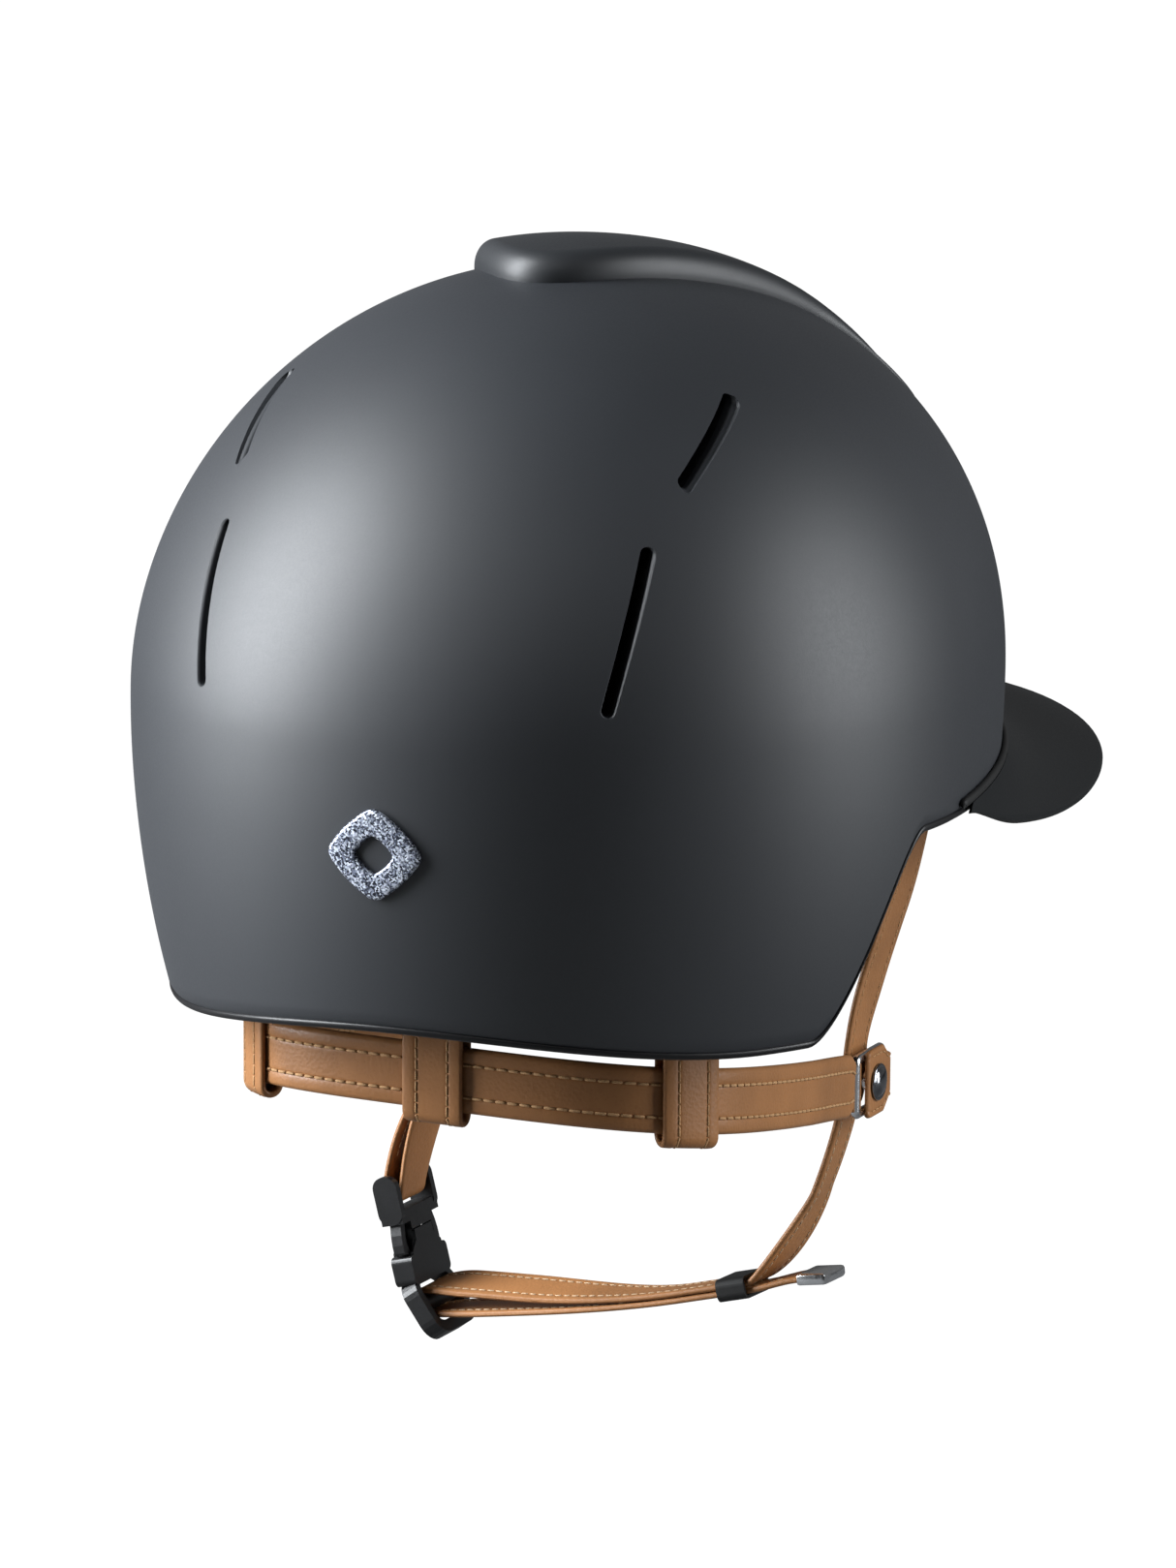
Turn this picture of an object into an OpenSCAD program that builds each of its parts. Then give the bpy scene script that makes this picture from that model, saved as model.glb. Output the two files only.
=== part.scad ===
// Riding helmet with visor, raised crest cover, padded inside and a leather harness.
// +X is the front, +Y the wearer's left and +Z up. The origin is on the middle plane,
// at the shell's widest level, where the long oval changes from front to rear radius.

/* [Shell] */
// Full width of the outer shell
shell_w = 228; // [222:1:234]
// Reach of the shell in front of its widest section
front_r = 156; // [152:1:160]
// Reach of the shell behind its widest section
rear_r = 117; // [114:1:120]
// Height of the crown above the widest level
crown_h = 112; // [109:1:115]
// Thickness of the outer shell
shell_t = 3.2; // [2.6:0.1:3.4]

/* [Padding] */
// Thickness of the shock-absorbing liner
liner_t = 25.4; // [24:0.2:26.4]
// Thickness of the comfort pads
pad_t = 5; // [4:0.5:6]

/* [Visor] */
// How far the visor's front edge stands in front of the shell
visor_reach = 66; // [55:1:72]
// Thickness of the visor plate
visor_t = 3.4; // [3:0.1:4]

/* [Harness] */
// Width of the temple and chin straps
strap_w = 15; // [14:0.5:15]
// Thickness of a strap
strap_t = 1.6; // [1.4:0.1:1.6]
// Height of the nape band
band_h = 17.5; // [16:0.5:18]
// Half the distance between the two side rings
ring_y = 67.4; // [67:0.1:68]

/* [Hidden] */

half_w = shell_w / 2;
// Depth of the ellipse that draws the wall below the widest level
skirt_h = 196;
// Mean and front-to-rear swing of the crown's roundness exponent
crown_pow = 2.015;
crown_pow_swing = 0.115;
// How far the crown's top leans forward
crown_shift = 7.6;
// Gap between neighbouring layers
gap = 0.4;
// Height from the shell's edge up to the liner's edge
liner_lift = 12;
pad_gap = 2.4;
liner_out = -shell_t - gap;
liner_in = liner_out - liner_t;
pad_out = liner_in - pad_gap;
pad_in = pad_out - pad_t;
head_color = "#3a3d41";
leather_color = "#a0703f";
black_color = "#1b1b1c";
chrome_color = "#c9ccd0";
foam_color = "#26272a";
pad_color = "#303236";

// Azimuths of the shell's columns, closer together where the side edge climbs
half_az = concat([for (a = [0:6:96]) a], [for (a = [98:2.5:118]) a], [for (a = [124:7:180]) a]);
full_az = concat(half_az, [for (i = [len(half_az) - 2:-1:1]) 360 - half_az[i]]);
coarse_az = [for (i = [0:2:len(full_az) - 1]) full_az[i]];

// ---- Curves and surfaces ----
function smooth(t) = let (c = min(1, max(0, t))) c * c * (3 - 2 * c);
function mix(a, b, t) = a + (b - a) * t;
function unit(v) = v / norm(v);
function fold_az(a) = abs(a > 180 ? a - 360 : a);

// Point of the shell's surface at azimuth a and height z, moved out by off
function shell_pt(a, z, off) =
    let (rx = (cos(a) > 0 ? front_r : rear_r) + off,
         m = crown_pow + crown_pow_swing * cos(a),
         up = min(1, max(0, z / (crown_h + off))),
         s = z >= 0 ? pow(1 - pow(up, m), 1 / m) : sqrt(1 - pow(z / (skirt_h + off), 2)))
    [rx * cos(a) * s + crown_shift * max(0, z) / crown_h, (half_w + off) * sin(a) * s, z];

// Point of the shell's surface, tip degrees forward of the crown and lean degrees sideways
function crest_pt(tip, lean, off) =
    let (d = [sin(tip) * cos(lean), sin(lean), cos(tip) * cos(lean)],
         q = norm([d.x / ((d.x > 0 ? front_r : rear_r) + off), d.y / (half_w + off)]),
         c = q > 0 ? d.x / ((d.x > 0 ? front_r : rear_r) + off) / q : 0,
         m = crown_pow + crown_pow_swing * c,
         r = pow(pow(q, m) + pow(d.z / (crown_h + off), m), -1 / m))
    [r * d.x + crown_shift * r * d.z / crown_h, r * d.y, r * d.z];

// Height of the shell's lower edge at azimuth a: low at the nape, raised at the temples
nape_z = -73.2;
behind_ear_z = -80.7;
temple_z = -27.7;
brow_z = -19.2;
function rim_z(a) =
    let (f = fold_az(a),
         nape = mix(nape_z, behind_ear_z, smooth((180 - f) / 55)),
         side = mix(nape, temple_z, smooth((117 - f) / 19)))
    f > 98 ? side : mix(temple_z, brow_z, smooth((98 - f) / 98));

// Bezier curve through four control points
function bez(p, t) = let (u = 1 - t)
    u * u * u * p[0] + 3 * u * u * t * p[1] + 3 * u * t * t * p[2] + t * t * t * p[3];
function bez_run(p, n) = [for (i = [0:n]) bez(p, i / n)];
// Rectangle w wide and h high about the origin, with corners of radius r
function rounded(w, h, r) =
    [for (q = [0:3], b = [0:15:90])
     let (c = [(q == 0 || q == 3 ? 1 : -1) * (w / 2 - r), (q < 2 ? 1 : -1) * (h / 2 - r)])
     c + r * [cos(90 * q + b), sin(90 * q + b)]];
function mean(v) = [for (k = [0:2]) [for (p = v) p[k]] * [for (p = v) 1 / len(v)]];

// Closed skin over a list of rings with equal numbers of points. The ends are closed
// by a fan about their middle, or by strips between a ring's first and second half.
module skin(rings, loop = false, fan = false) {
    n = len(rings);
    m = len(rings[0]);
    ends = fan ? [mean(rings[0]), mean(rings[n - 1])] : [];
    sides = [for (i = [0:n - (loop ? 1 : 2)], j = [0:m - 1])
             let (a = i * m + j, b = i * m + (j + 1) % m,
                  c = ((i + 1) % n) * m + j, d = ((i + 1) % n) * m + (j + 1) % m)
             each [[a, b, d], [a, d, c]]];
    k = (n - 1) * m;
    fans = [for (j = [0:m - 1])
            each [[n * m, (j + 1) % m, j], [n * m + 1, k + j, k + (j + 1) % m]]];
    strips = [for (j = [0:m / 2 - 2])
              each [[j + 1, j, m - 1 - j], [j + 1, m - 1 - j, m - 2 - j],
                    [k + j, k + j + 1, k + m - 2 - j], [k + j, k + m - 2 - j, k + m - 1 - j]]];
    caps = loop ? [] : fan ? fans : strips;
    polyhedron(concat([for (r = rings) each r], ends), concat(sides, caps), convexity = 10);
}

// Ring of the shell's surface, drop 0 at the crown and 1 at the edge
function dome_ring(az, off, lift, drop) =
    [for (a = az) let (top = crown_h + off, z = top - (top - rim_z(a) - lift) * (1 - cos(90 * drop)))
     shell_pt(a, z, off)];

// Bowl between two offsets of the shell's surface
module bowl(az, off_out, off_in, lift, rows, first = 0.06) {
    drops = [for (i = [0:rows]) mix(first, 1, i / rows)];
    skin(concat([for (d = drops) dome_ring(az, off_out, lift, d)],
                [for (i = [rows:-1:0]) dome_ring(az, off_in, lift, drops[i])]), fan = true);
}

// Rounded strap section, w wide and t thick
function strap_section(w, t) = let (c = t * 0.3)
    [[w / 2, -t / 2 + c], [w / 2, t / 2 - c], [w / 2 - c, t / 2], [c - w / 2, t / 2],
     [-w / 2, t / 2 - c], [-w / 2, c - t / 2], [c - w / 2, -t / 2], [w / 2 - c, -t / 2]];

// Sweep of a section along a path; wide[i] is the direction of the strap's width
module sweep(path, wide, section) {
    n = len(path);
    skin([for (i = [0:n - 1])
          let (t = unit(path[min(n - 1, i + 1)] - path[max(0, i - 1)]),
               w = unit(wide[i] - (wide[i] * t) * t),
               b = cross(w, t), s = len(section[0]) == undef ? section : section)
          [for (q = s) path[i] + q.x * w + q.y * b]]);
}

// ---- Shell, crest and visor ----
vent_w = 3.6;
// Ends of the two slits of one side, as azimuth and height
vents = [[[121.5, 84.2], [137.5, 64.1]], [[143.8, 50.5], [150.1, 9.7]]];

// Cutter for one vent slit, with slanted ends
module vent_cut(slit, side) {
    steps = 5;
    ends = [for (q = slit) shell_pt(q[0], q[1], 0)];
    run = [for (i = [0:steps])
           let (c = mix(ends[0], ends[1], i / steps), x = c.x - crown_shift * c.z / crown_h)
           [side * atan2(c.y / half_w, x / rear_r), c.z]];
    deep = [for (q = run) shell_pt(q[0], q[1], -8)];
    high = [for (q = run) shell_pt(q[0], q[1], 3)];
    skin([for (i = [0:steps])
          let (t = unit(high[min(steps, i + 1)] - high[max(0, i - 1)]),
               w = unit(cross(t, high[i] - deep[i])) * vent_w / 2)
          [deep[i] - w, deep[i] + w, high[i] + w, high[i] - w]]);
}

module outer_shell() {
    color(head_color)
    difference() {
        bowl(full_az, 0, -shell_t, 0, 18);
        for (slit = vents, side = [-1, 1]) vent_cut(slit, side);
    }
}

crest_rise = 6.5;
crest_tail = -13;
crest_front = 90;
crest_lean = 34;
cover_end = 62;
// Half width of the crest, in degrees, at tip degrees forward of the crown
function crest_half(tip) = let (t = (tip - crest_tail) / (crest_front - crest_tail))
    mix(3.9 * sqrt(max(0, tip - crest_tail)),
        crest_lean * sin(180 * t) + 9 * smooth((t - 0.7) / 0.25), smooth((tip - 28) / 32));
function shoulder(t) = sqrt(1 - pow(min(1, max(0, t)), 2));
// Height of the crest above the shell, v from -1 to 1 across its width
function crest_height(tip, v) =
    let (fade = 1 - pow(min(1, max(0, tip / 40)), 1.8),
         tail = shoulder((crest_tail + 3 - tip) / 3),
         side = shoulder((abs(v) - 0.75) / 0.25))
    crest_gap + 0.9 + (0.4 + crest_rise * fade) * tail * side;

// Curved panel on the crest's outline, from one tip angle to another
module crest_panel(tips, cross_v, off_in, thick) {
    back = [for (i = [len(cross_v) - 1:-1:0]) cross_v[i]];
    skin([for (tip = tips)
          concat([for (v = cross_v)
                  crest_pt(tip, v * crest_half(tip), crest_height(tip, v))],
                 [for (v = back)
                  crest_pt(tip, v * crest_half(tip),
                           max(off_in, crest_height(tip, v) - thick))])]);
}

crest_gap = 0.5;
half_v = [0.2, 0.4, 0.58, 0.75, 0.86, 0.94, 0.98, 1];
crest_v = concat([for (i = [7:-1:0]) -half_v[i]], [0], half_v);
module crest_cover() {
    tips = concat([for (d = [0.03, 0.3, 0.9, 1.9, 3.2, 5.5, 8.5]) crest_tail + d],
                  [for (i = [0:12]) mix(-1, cover_end, i / 12)]);
    color("#35373a") crest_panel(tips, crest_v, crest_gap, 2.4);
}

module front_grille() {
    tips = [for (i = [0:8]) mix(cover_end + 0.6, crest_front - 4, i / 8)];
    color(black_color) crest_panel(tips, crest_v * 0.97, crest_gap, 1.3);
}

visor_x0 = 5;
visor_az = 88;
visor_pow = 3.2;
visor_root_end_z = -27;
visor_root_rise = 13;
visor_edge_z = -28;
visor_droop = 16.4;
visor_half_w = half_w + 0.6;
visor_front = front_r + visor_reach - visor_x0;
function visor_root(k, off) = let (a = visor_az * k)
    shell_pt(a, visor_root_end_z + visor_root_rise * cos(a), off);
function visor_edge(k) =
    let (b = 90 * k,
         r = pow(pow(cos(b) / visor_front, visor_pow)
                 + pow(abs(sin(b)) / visor_half_w, visor_pow), -1 / visor_pow),
         x = visor_x0 + r * cos(b), y = r * sin(b),
         side_rise = 16.4 * pow(max(0, 140 - x) / 135, 2.2))
    [x, y, visor_edge_z - visor_droop * pow(abs(y) / visor_half_w, 2.4) + side_rise];
// Point of the visor's top, v 0 at the root and 1 at the edge, and the way into the plate
function visor_top(k, v) =
    mix(visor_root(k, 1.9), visor_edge(k), v) + [0, 0, 6 * v * (1 - v) * cos(90 * k)];
function visor_in(p) = unit([0, -0.6 * p.y, -45]);
// Thickness of the plate: thin at the root and towards the two side ends
function visor_thick(k, v) =
    mix(1.1, visor_t, smooth(v / 0.3)) * mix(1, 0.28, smooth((abs(k) - 0.7) / 0.22));

module visor() {
    ks = [for (i = [-20:20]) sign(i) * (abs(i) / 20) * 0.975];
    vs = [0, 0.25, 0.5, 0.75, 0.93];
    back = [0.93, 0.75, 0.5, 0.25, 0];
    color(head_color)
    skin([for (k = ks)
          concat([for (v = vs) visor_top(k, v)],
                 [for (f = [0.3, 0.75]) let (e = visor_top(k, 1))
                  e + visor_in(e) * f * visor_thick(k, 1)],
                 [for (v = back) let (e = visor_top(k, v)) e + visor_in(e) * visor_thick(k, v)])]);
}

module visor_seal() {
    path = [for (i = [-24:24]) visor_root(i / 24, 1.0) + [0, 0, 1.6]];
    color(black_color)
    sweep(path, [for (p = path) [0, 0, 1]],
          [for (j = [0:5]) [0.8 * cos(60 * j), 0.8 * sin(60 * j)]]);
}

// Bead that covers the shell's lower edge
module rim_trim() {
    section = [[0.2, 0], [-1.2, -0.35], [-3.4, -0.35], [-4.6, 0], [-4.6, -2], [-3.4, -2.8], [-1.2, -2.8],
               [0.2, -1.6]];
    color(black_color)
    skin([for (a = full_az) [for (q = section)
          let (p = shell_pt(a, rim_z(a), q.x)) [p.x, p.y, p.z + q.y - 0.1]]], loop = true);
}

badge_z = -27;
// Plain lozenge with a lozenge opening, mounted on the rear of the shell
module badge() {
    at = shell_pt(180, badge_z, 0);
    below = shell_pt(180, badge_z - 1, 0);
    color("#8d96a8")
    translate(at) rotate([0, -90 + atan2(at.x - below.x, 1), 0]) translate([0, 0, 0.15])
    linear_extrude(1.4) difference() {
        polygon([[-13, 0], [-3, 14], [3, 14], [13, 0], [3, -14], [-3, -14]]);
        polygon([[-5.5, 0], [0, 6], [5.5, 0], [0, -6]]);
    }
}

// ---- Inside of the shell ----
module shock_liner() {
    color(foam_color) bowl(coarse_az, liner_out, liner_in, liner_lift, 11);
}

// Ring-shaped pad round the forehead and the back of the head
module headband_pad() {
    low = 22;
    high = 14;
    levels = [0, 0.35, 0.7, 1];
    color(pad_color)
    skin([for (a = coarse_az)
          let (z0 = rim_z(a) + low)
          concat([for (v = levels) shell_pt(a, mix(z0, high, v), pad_out)],
                 [for (i = [3:-1:0]) shell_pt(a, mix(z0, high, levels[i]), pad_in)])], loop = true);
}

// Cross-shaped pad under the crown, drawn as a shallow cap
module crown_pad() {
    drops = [0.08, 0.2, 0.35, 0.5];
    function cap_ring(off, d) = [for (a = coarse_az) let (top = crown_h + off)
        shell_pt(a, top - top * (1 - cos(90 * d)), off)];
    color(pad_color)
    skin(concat([for (d = drops) cap_ring(pad_out, d)],
                [for (i = [3:-1:0]) cap_ring(pad_in, drops[i])]), fan = true);
}

dot_d = 10;
dot_t = 0.6;
// Hook-and-loop dots between the liner and the pads, as azimuth and height
dots = [[0, 8], [50, 5], [-50, 5], [130, 5], [-130, 5], [180, 5], [90, 66], [-90, 66]];
module hook_dots() {
    for (d = dots) {
        p = shell_pt(d[0], d[1], pad_out);
        q = shell_pt(d[0], d[1], pad_out + 6);
        above = shell_pt(d[0], d[1] + 1, pad_out);
        beside = shell_pt(d[0] + 1, d[1], pad_out);
        n = unit(cross(above - p, beside - p));
        out = n * (q - p) > 0 ? n : -n;
        color("#202124")
        translate(p + out * 0.35)
        rotate([0, acos(out.z), atan2(out.y, out.x)])
        cylinder(d = dot_d, h = dot_t, $fn = 48);
    }
}

// ---- Harness: side junctions ----
pivot = [60, ring_y, -116];
ring_l = 22;
ring_h = 18;
wire_r = 1.3;
bar_x = ring_l / 2 - wire_r;
bar_z = ring_h / 2 - wire_r;
temple_y = ring_y - 3.9;
chin_y = temple_y - strap_t - gap;

// Closed rectangular wire ring
module ring_at(side) {
    color(chrome_color)
    translate([pivot.x, side * ring_y, pivot.z]) {
        for (s = [-1, 1]) {
            translate([s * bar_x, 0, -bar_z + wire_r])
            cylinder(r = wire_r, h = 2 * bar_z - 2 * wire_r, $fn = 32);
            translate([-bar_x + wire_r, 0, s * bar_z]) rotate([0, 90, 0])
            cylinder(r = wire_r, h = 2 * bar_x - 2 * wire_r, $fn = 32);
        }
        for (sx = [-1, 1], sz = [-1, 1])
            translate([sx * (bar_x - wire_r), 0, sz * (bar_z - wire_r)])
            rotate([90, sx > 0 ? (sz > 0 ? 0 : 90) : (sz > 0 ? -90 : 180), 0])
            rotate_extrude(angle = 90, $fn = 48) translate([wire_r, 0]) circle(r = wire_r, $fn = 32);
    }
}
module side_ring_left() { ring_at(1); }
module side_ring_right() { ring_at(-1); }

post_r = 1.5;
bore_r = post_r + 0.06;
stud_in = chin_y - strap_t / 2 - 1.4;
stud_out = ring_y + 0.9;
// Rivet through both straps, with a broad head inside and a press stud outside
module stud_at(side) {
    color(chrome_color)
    translate([pivot.x, 0, pivot.z]) rotate([-90 * side, 0, 0]) {
        translate([0, 0, stud_in]) cylinder(r = 4, h = 0.9, $fn = 48);
        translate([0, 0, stud_in + 0.9]) cylinder(r = post_r, h = stud_out - stud_in - 0.9, $fn = 48);
        translate([0, 0, stud_out - 1.6]) cylinder(r = 2.6, h = 1.6, $fn = 48);
    }
}
module snap_stud_left() { stud_at(1); }
module snap_stud_right() { stud_at(-1); }

sleeve_in = wire_r + 0.08;
sleeve_out = sleeve_in + 1.4;
flap_y = ring_y + sleeve_in;
flap_l = 16.3;
flap_h = 15.5;
sleeve_h = ring_h - 4 * wire_r - 0.4;
// Leather flap folded round the ring's front bar and laid back over the straps
module flap_at(side) {
    color(leather_color)
    difference() {
        union() {
            translate([pivot.x + bar_x, side * ring_y, pivot.z - sleeve_h / 2])
            cylinder(r = sleeve_out, h = sleeve_h, $fn = 48);
            translate([pivot.x + bar_x - flap_l, side > 0 ? flap_y : -flap_y - 1.4, pivot.z - flap_h / 2])
            cube([flap_l, 1.4, flap_h]);
        }
        translate([pivot.x + bar_x, side * ring_y, pivot.z - ring_h])
        cylinder(r = sleeve_in, h = 2 * ring_h, $fn = 48);
        for (s = [-1, 1])
            translate([pivot.x + bar_x - wire_r - 0.6, side > 0 ? ring_y - 3 : -ring_y - 1.4,
                       pivot.z + s * (sleeve_h / 2 + 2) - 2])
            cube([5, 4.4, 4]);
    }
}
module keeper_flap_left() { flap_at(1); }
module keeper_flap_right() { flap_at(-1); }

cap_y = flap_y + 1.4 + 0.05;
// Domed press-stud cap on the flap
module cap_at(side) {
    color(chrome_color)
    translate([pivot.x, 0, pivot.z]) rotate([-90 * side, 0, 0]) translate([0, 0, cap_y])
    rotate_extrude($fn = 64) polygon([[0, 0], [5, 0], [5.2, 0.5], [4.9, 1], [3.6, 1.6], [1.8, 1.9], [0, 2]]);
}
module snap_cap_left() { cap_at(1); }
module snap_cap_right() { cap_at(-1); }

// ---- Harness: straps fixed to the shell ----
hole_clear_r = bore_r + 1.7;
function on_side(path, side) = [for (p = path) [p.x, side * p.y, p.z]];

// Strap end with a round hole, lying flat against the head at distance y from the middle plane
module strap_end(side, y, up, hole_r) {
    color(leather_color)
    translate([pivot.x, side * y, pivot.z]) rotate([90, 0, 0])
    linear_extrude(strap_t, center = true) difference() {
        union() {
            circle(d = strap_w, $fn = 64);
            translate([-strap_w / 2, up > 0 ? 0 : -up * -1]) square([strap_w, abs(up)]);
        }
        circle(r = hole_r, $fn = 48);
    }
}

temple_top = [88, 80, -18.7];
module temple_at(side) {
    lead = 8;
    path = bez_run([[pivot.x, temple_y, pivot.z + lead], [pivot.x, temple_y + 2, -88],
                    [72, 75.5, -60], temple_top], 16);
    n = len(path) - 1;
    union() {
        color(leather_color)
        sweep(on_side(path, side),
              [for (i = [0:n])
               let (t = i / n, y = 0.12 * smooth(t / 0.3) - 0.4 * smooth((t - 0.55) / 0.45))
               unit([1, side * y, 0.45 * t])],
              strap_section(strap_w, strap_t));
        strap_end(side, temple_y, lead + 0.01, bore_r);
    }
}
module temple_strap_left() { temple_at(1); }
module temple_strap_right() { temple_at(-1); }

band_t = 2.8;
band_rear = 78;
band_half = 70;
band_pow = 3.5;
band_join_x = pivot.x - bar_x - sleeve_out + 0.3;
// Centre line of the nape band: a squared oval behind, straight at the sides
function band_z(x) = -107.2 - 0.163 * x;
function band_pt(a) =
    let (r = pow(pow(abs(cos(a)) / band_rear, band_pow)
                 + pow(abs(sin(a)) / band_half, band_pow), -1 / band_pow))
    [-r * cos(a), r * sin(a), band_z(-r * cos(a)) + band_lift(-r * cos(a), r * sin(a))];
// How much higher the band runs behind the head, a little more so on the left
function band_lift(x, y) = smooth((12 - x) / 60) * (2 + 0.025 * y);
band_side = [for (x = [12, 21, 30, 38, 44.6, band_join_x])
             [x, mix(band_half, ring_y, smooth(x / 44)), band_z(x)]];
band_path = concat([for (i = [len(band_side) - 1:-1:0]) on_side([band_side[i]], -1)[0]],
                   [for (a = [-88:4:88]) band_pt(a)], band_side);

module nape_band() {
    n = len(band_path) - 1;
    color(leather_color) {
        skin([for (i = [0:n])
              let (t = unit(band_path[min(n, i + 1)] - band_path[max(0, i - 1)]),
                   w = unit([0, 0, 1] - t.z * t), b = cross(w, t),
                   taper = min(i, n - i) > 0 ? 1 : 0.72)
              [for (q = strap_section(band_h * taper, band_t)) band_path[i] + q.x * w + q.y * b]]);
        for (side = [-1, 1])
            translate([pivot.x - bar_x, side * ring_y, pivot.z - sleeve_h / 2])
            difference() {
                cylinder(r = sleeve_out, h = sleeve_h, $fn = 48);
                translate([0, 0, -1]) cylinder(r = sleeve_in, h = sleeve_h + 2, $fn = 48);
            }
    }
}

hanger_w = 17;
hanger_t = 1.6;
hanger_gap = 0.45;
// Height of a hanger's two ends, just under its plate and the liner
function hanger_top(a) = rim_z(180 - abs(a)) + liner_lift - 3.5;
// U-shaped loop that carries the nape band, at azimuth a of the band's own oval
module hanger_at(a) {
    turn_per_mm = 2 / norm(band_pt(a + 1) - band_pt(a - 1));
    half_in = band_t / 2 + hanger_gap;
    color(leather_color)
    skin([for (i = [-3:3])
          let (b = a + i / 6 * hanger_w * turn_per_mm,
               at = band_pt(b), ahead = band_pt(b + 0.5) - band_pt(b - 0.5),
               out = unit([-ahead.y, ahead.x, 0]) * (ahead.x * at.y < ahead.y * at.x ? -1 : 1),
               low = -band_h / 2 - 0.3,
               top = hanger_top(a) - at.z,
               arc = [for (q = [0:30:180]) [cos(q), -sin(q)]])
          concat([at + half_in * out + hanger_t * out + [0, 0, top]],
                 [for (q = arc) at + (half_in + hanger_t) * q.x * out
                  + [0, 0, low + (half_in + hanger_t) * q.y]],
                 [at - (half_in + hanger_t) * out + [0, 0, top], at - half_in * out + [0, 0, top]],
                 [for (j = [6:-1:0]) at + half_in * arc[j].x * out + [0, 0, low + half_in * arc[j].y]],
                 [at + half_in * out + [0, 0, top]])]);
}
// Place of the outer hangers; the left one sits further back
hanger_az = 47;
left_hanger_az = 42.5;
module hanger_centre() { hanger_at(0); }
module hanger_left() { hanger_at(left_hanger_az); }
module hanger_right() { hanger_at(-hanger_az); }

plate_t = 2.4;
screw_r = 1.6;
// Centre and turn of each plate, and the screw's place on it
plate_seats = concat([for (a = [0, left_hanger_az, -hanger_az]) [band_pt(a), hanger_top(a) + 0.15]],
                     [for (s = [-1, 1]) [[temple_top.x, s * temple_top.y, 0], temple_top.z + 3.4]]);
plate_l = 21.3;
front_plate_l = 19;
// Where the screw and the plate's inner end stand, along the plate
function screw_out(i) = i < 3 ? 13 : -9;
function plate_from(i) = i < 3 ? -4 : -13;
module at_plate(seat) {
    turn = atan2(seat[0].y, seat[0].x);
    translate([seat[0].x, seat[0].y, seat[1]]) rotate([0, 0, turn]) children();
}
module anchor_plates() {
    color("#2a2b2e")
    for (i = [0:len(plate_seats) - 1]) at_plate(plate_seats[i]) difference() {
        translate([plate_from(i), -7.5, 0]) cube([i < 3 ? plate_l : front_plate_l, 15, plate_t]);
        translate([screw_out(i), 0, -1]) cylinder(r = screw_r + 0.2, h = plate_t + 2, $fn = 32);
    }
}
module anchor_screws() {
    color(chrome_color)
    for (i = [0:len(plate_seats) - 1]) at_plate(plate_seats[i]) translate([screw_out(i), 0, -1.7]) {
        cylinder(r = 3.2, h = 1.6, $fn = 32);
        translate([0, 0, 1.6]) cylinder(r = screw_r, h = 16, $fn = 32);
    }
}

// ---- Chin harness: plane x = pivot.x ----
buckle_tilt = 14;
buckle_twist = -2.5;
buckle_at = [pivot.x, 68.9, -178];
// Across the buckle, through its thickness, and along it towards the shell
buckle_across = [cos(buckle_twist), sin(buckle_twist) * cos(buckle_tilt),
                 -sin(buckle_twist) * sin(buckle_tilt)];
buckle_side = [-sin(buckle_twist), cos(buckle_twist) * cos(buckle_tilt),
               -cos(buckle_twist) * sin(buckle_tilt)];
buckle_up = [0, sin(buckle_tilt), cos(buckle_tilt)];
top_bar_z = 18;
pin_r = 1.7;
wrap_r = pin_r + 0.25 + strap_t / 2;
// The lower loop starts at loop_z and bends inwards, towards the chin
loop_z = -9;
loop_bend = 21.6;
loop_bar_s = 6.2;
loop_bar_r = 2.6;
loop_wrap_r = loop_bar_r + 0.3 + strap_t / 2;
loop_up = cos(loop_bend) * buckle_up + sin(loop_bend) * buckle_side;
loop_side = cos(loop_bend) * buckle_side - sin(loop_bend) * buckle_up;
loop_bar = buckle_at + loop_z * buckle_up - loop_bar_s * loop_up;
release_r = 127.2;
release_at = buckle_at - release_r * [0, cos(buckle_tilt), -sin(buckle_tilt)];
// Edge-to-edge turn of the right chin strap halfway down its bend
fall_roll = -20;
// Roll of the strap about its own length where it runs through the slider, and before it
slider_roll = -3.5;
run_roll = 14;

function yz(y, z) = [pivot.x, y, z];
function turn_dir(a) = [cos(a), sin(a), 0];
function roll_dir(a) = [cos(a), 0, sin(a)];

// Eyelet in the chin strap's end, which turns on the rivet's post
module eyelet_at(side) {
    color(chrome_color)
    translate([pivot.x, side * chin_y, pivot.z]) rotate([90, 0, 0])
    difference() {
        cylinder(r = hole_clear_r - 0.05, h = strap_t, center = true, $fn = 64);
        cylinder(r = bore_r, h = strap_t + 1, center = true, $fn = 64);
    }
}
module strap_eyelet_left() { eyelet_at(1); }
module strap_eyelet_right() { eyelet_at(-1); }

strap_lead = 7;
module chin_strap_left() {
    bar = buckle_at + top_bar_z * buckle_up;
    down = bez_run([yz(chin_y, pivot.z - strap_lead), yz(chin_y, -128),
                    yz(68.2, -142), bar - wrap_r * buckle_side], 12);
    turn = [for (b = [160:-20:20]) bar + wrap_r * (cos(b) * buckle_side - sin(b) * buckle_up)];
    up = bez_run([bar + wrap_r * buckle_side, yz(75, -151), yz(70.6, -138.6), yz(64.1, -130.6)], 8);
    wide = concat([for (i = [0:12]) turn_dir(buckle_twist * smooth(i / 12) - 11 * sin(15 * i))],
                  [for (p = turn) buckle_across],
                  [for (i = [0:8]) turn_dir(buckle_twist - 9 * smooth(i / 8))]);
    color(leather_color)
    sweep(concat(down, turn, up), wide, strap_section(strap_w - 0.4, strap_t));
    strap_end(1, chin_y, -strap_lead - 0.01, hole_clear_r);
}

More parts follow.
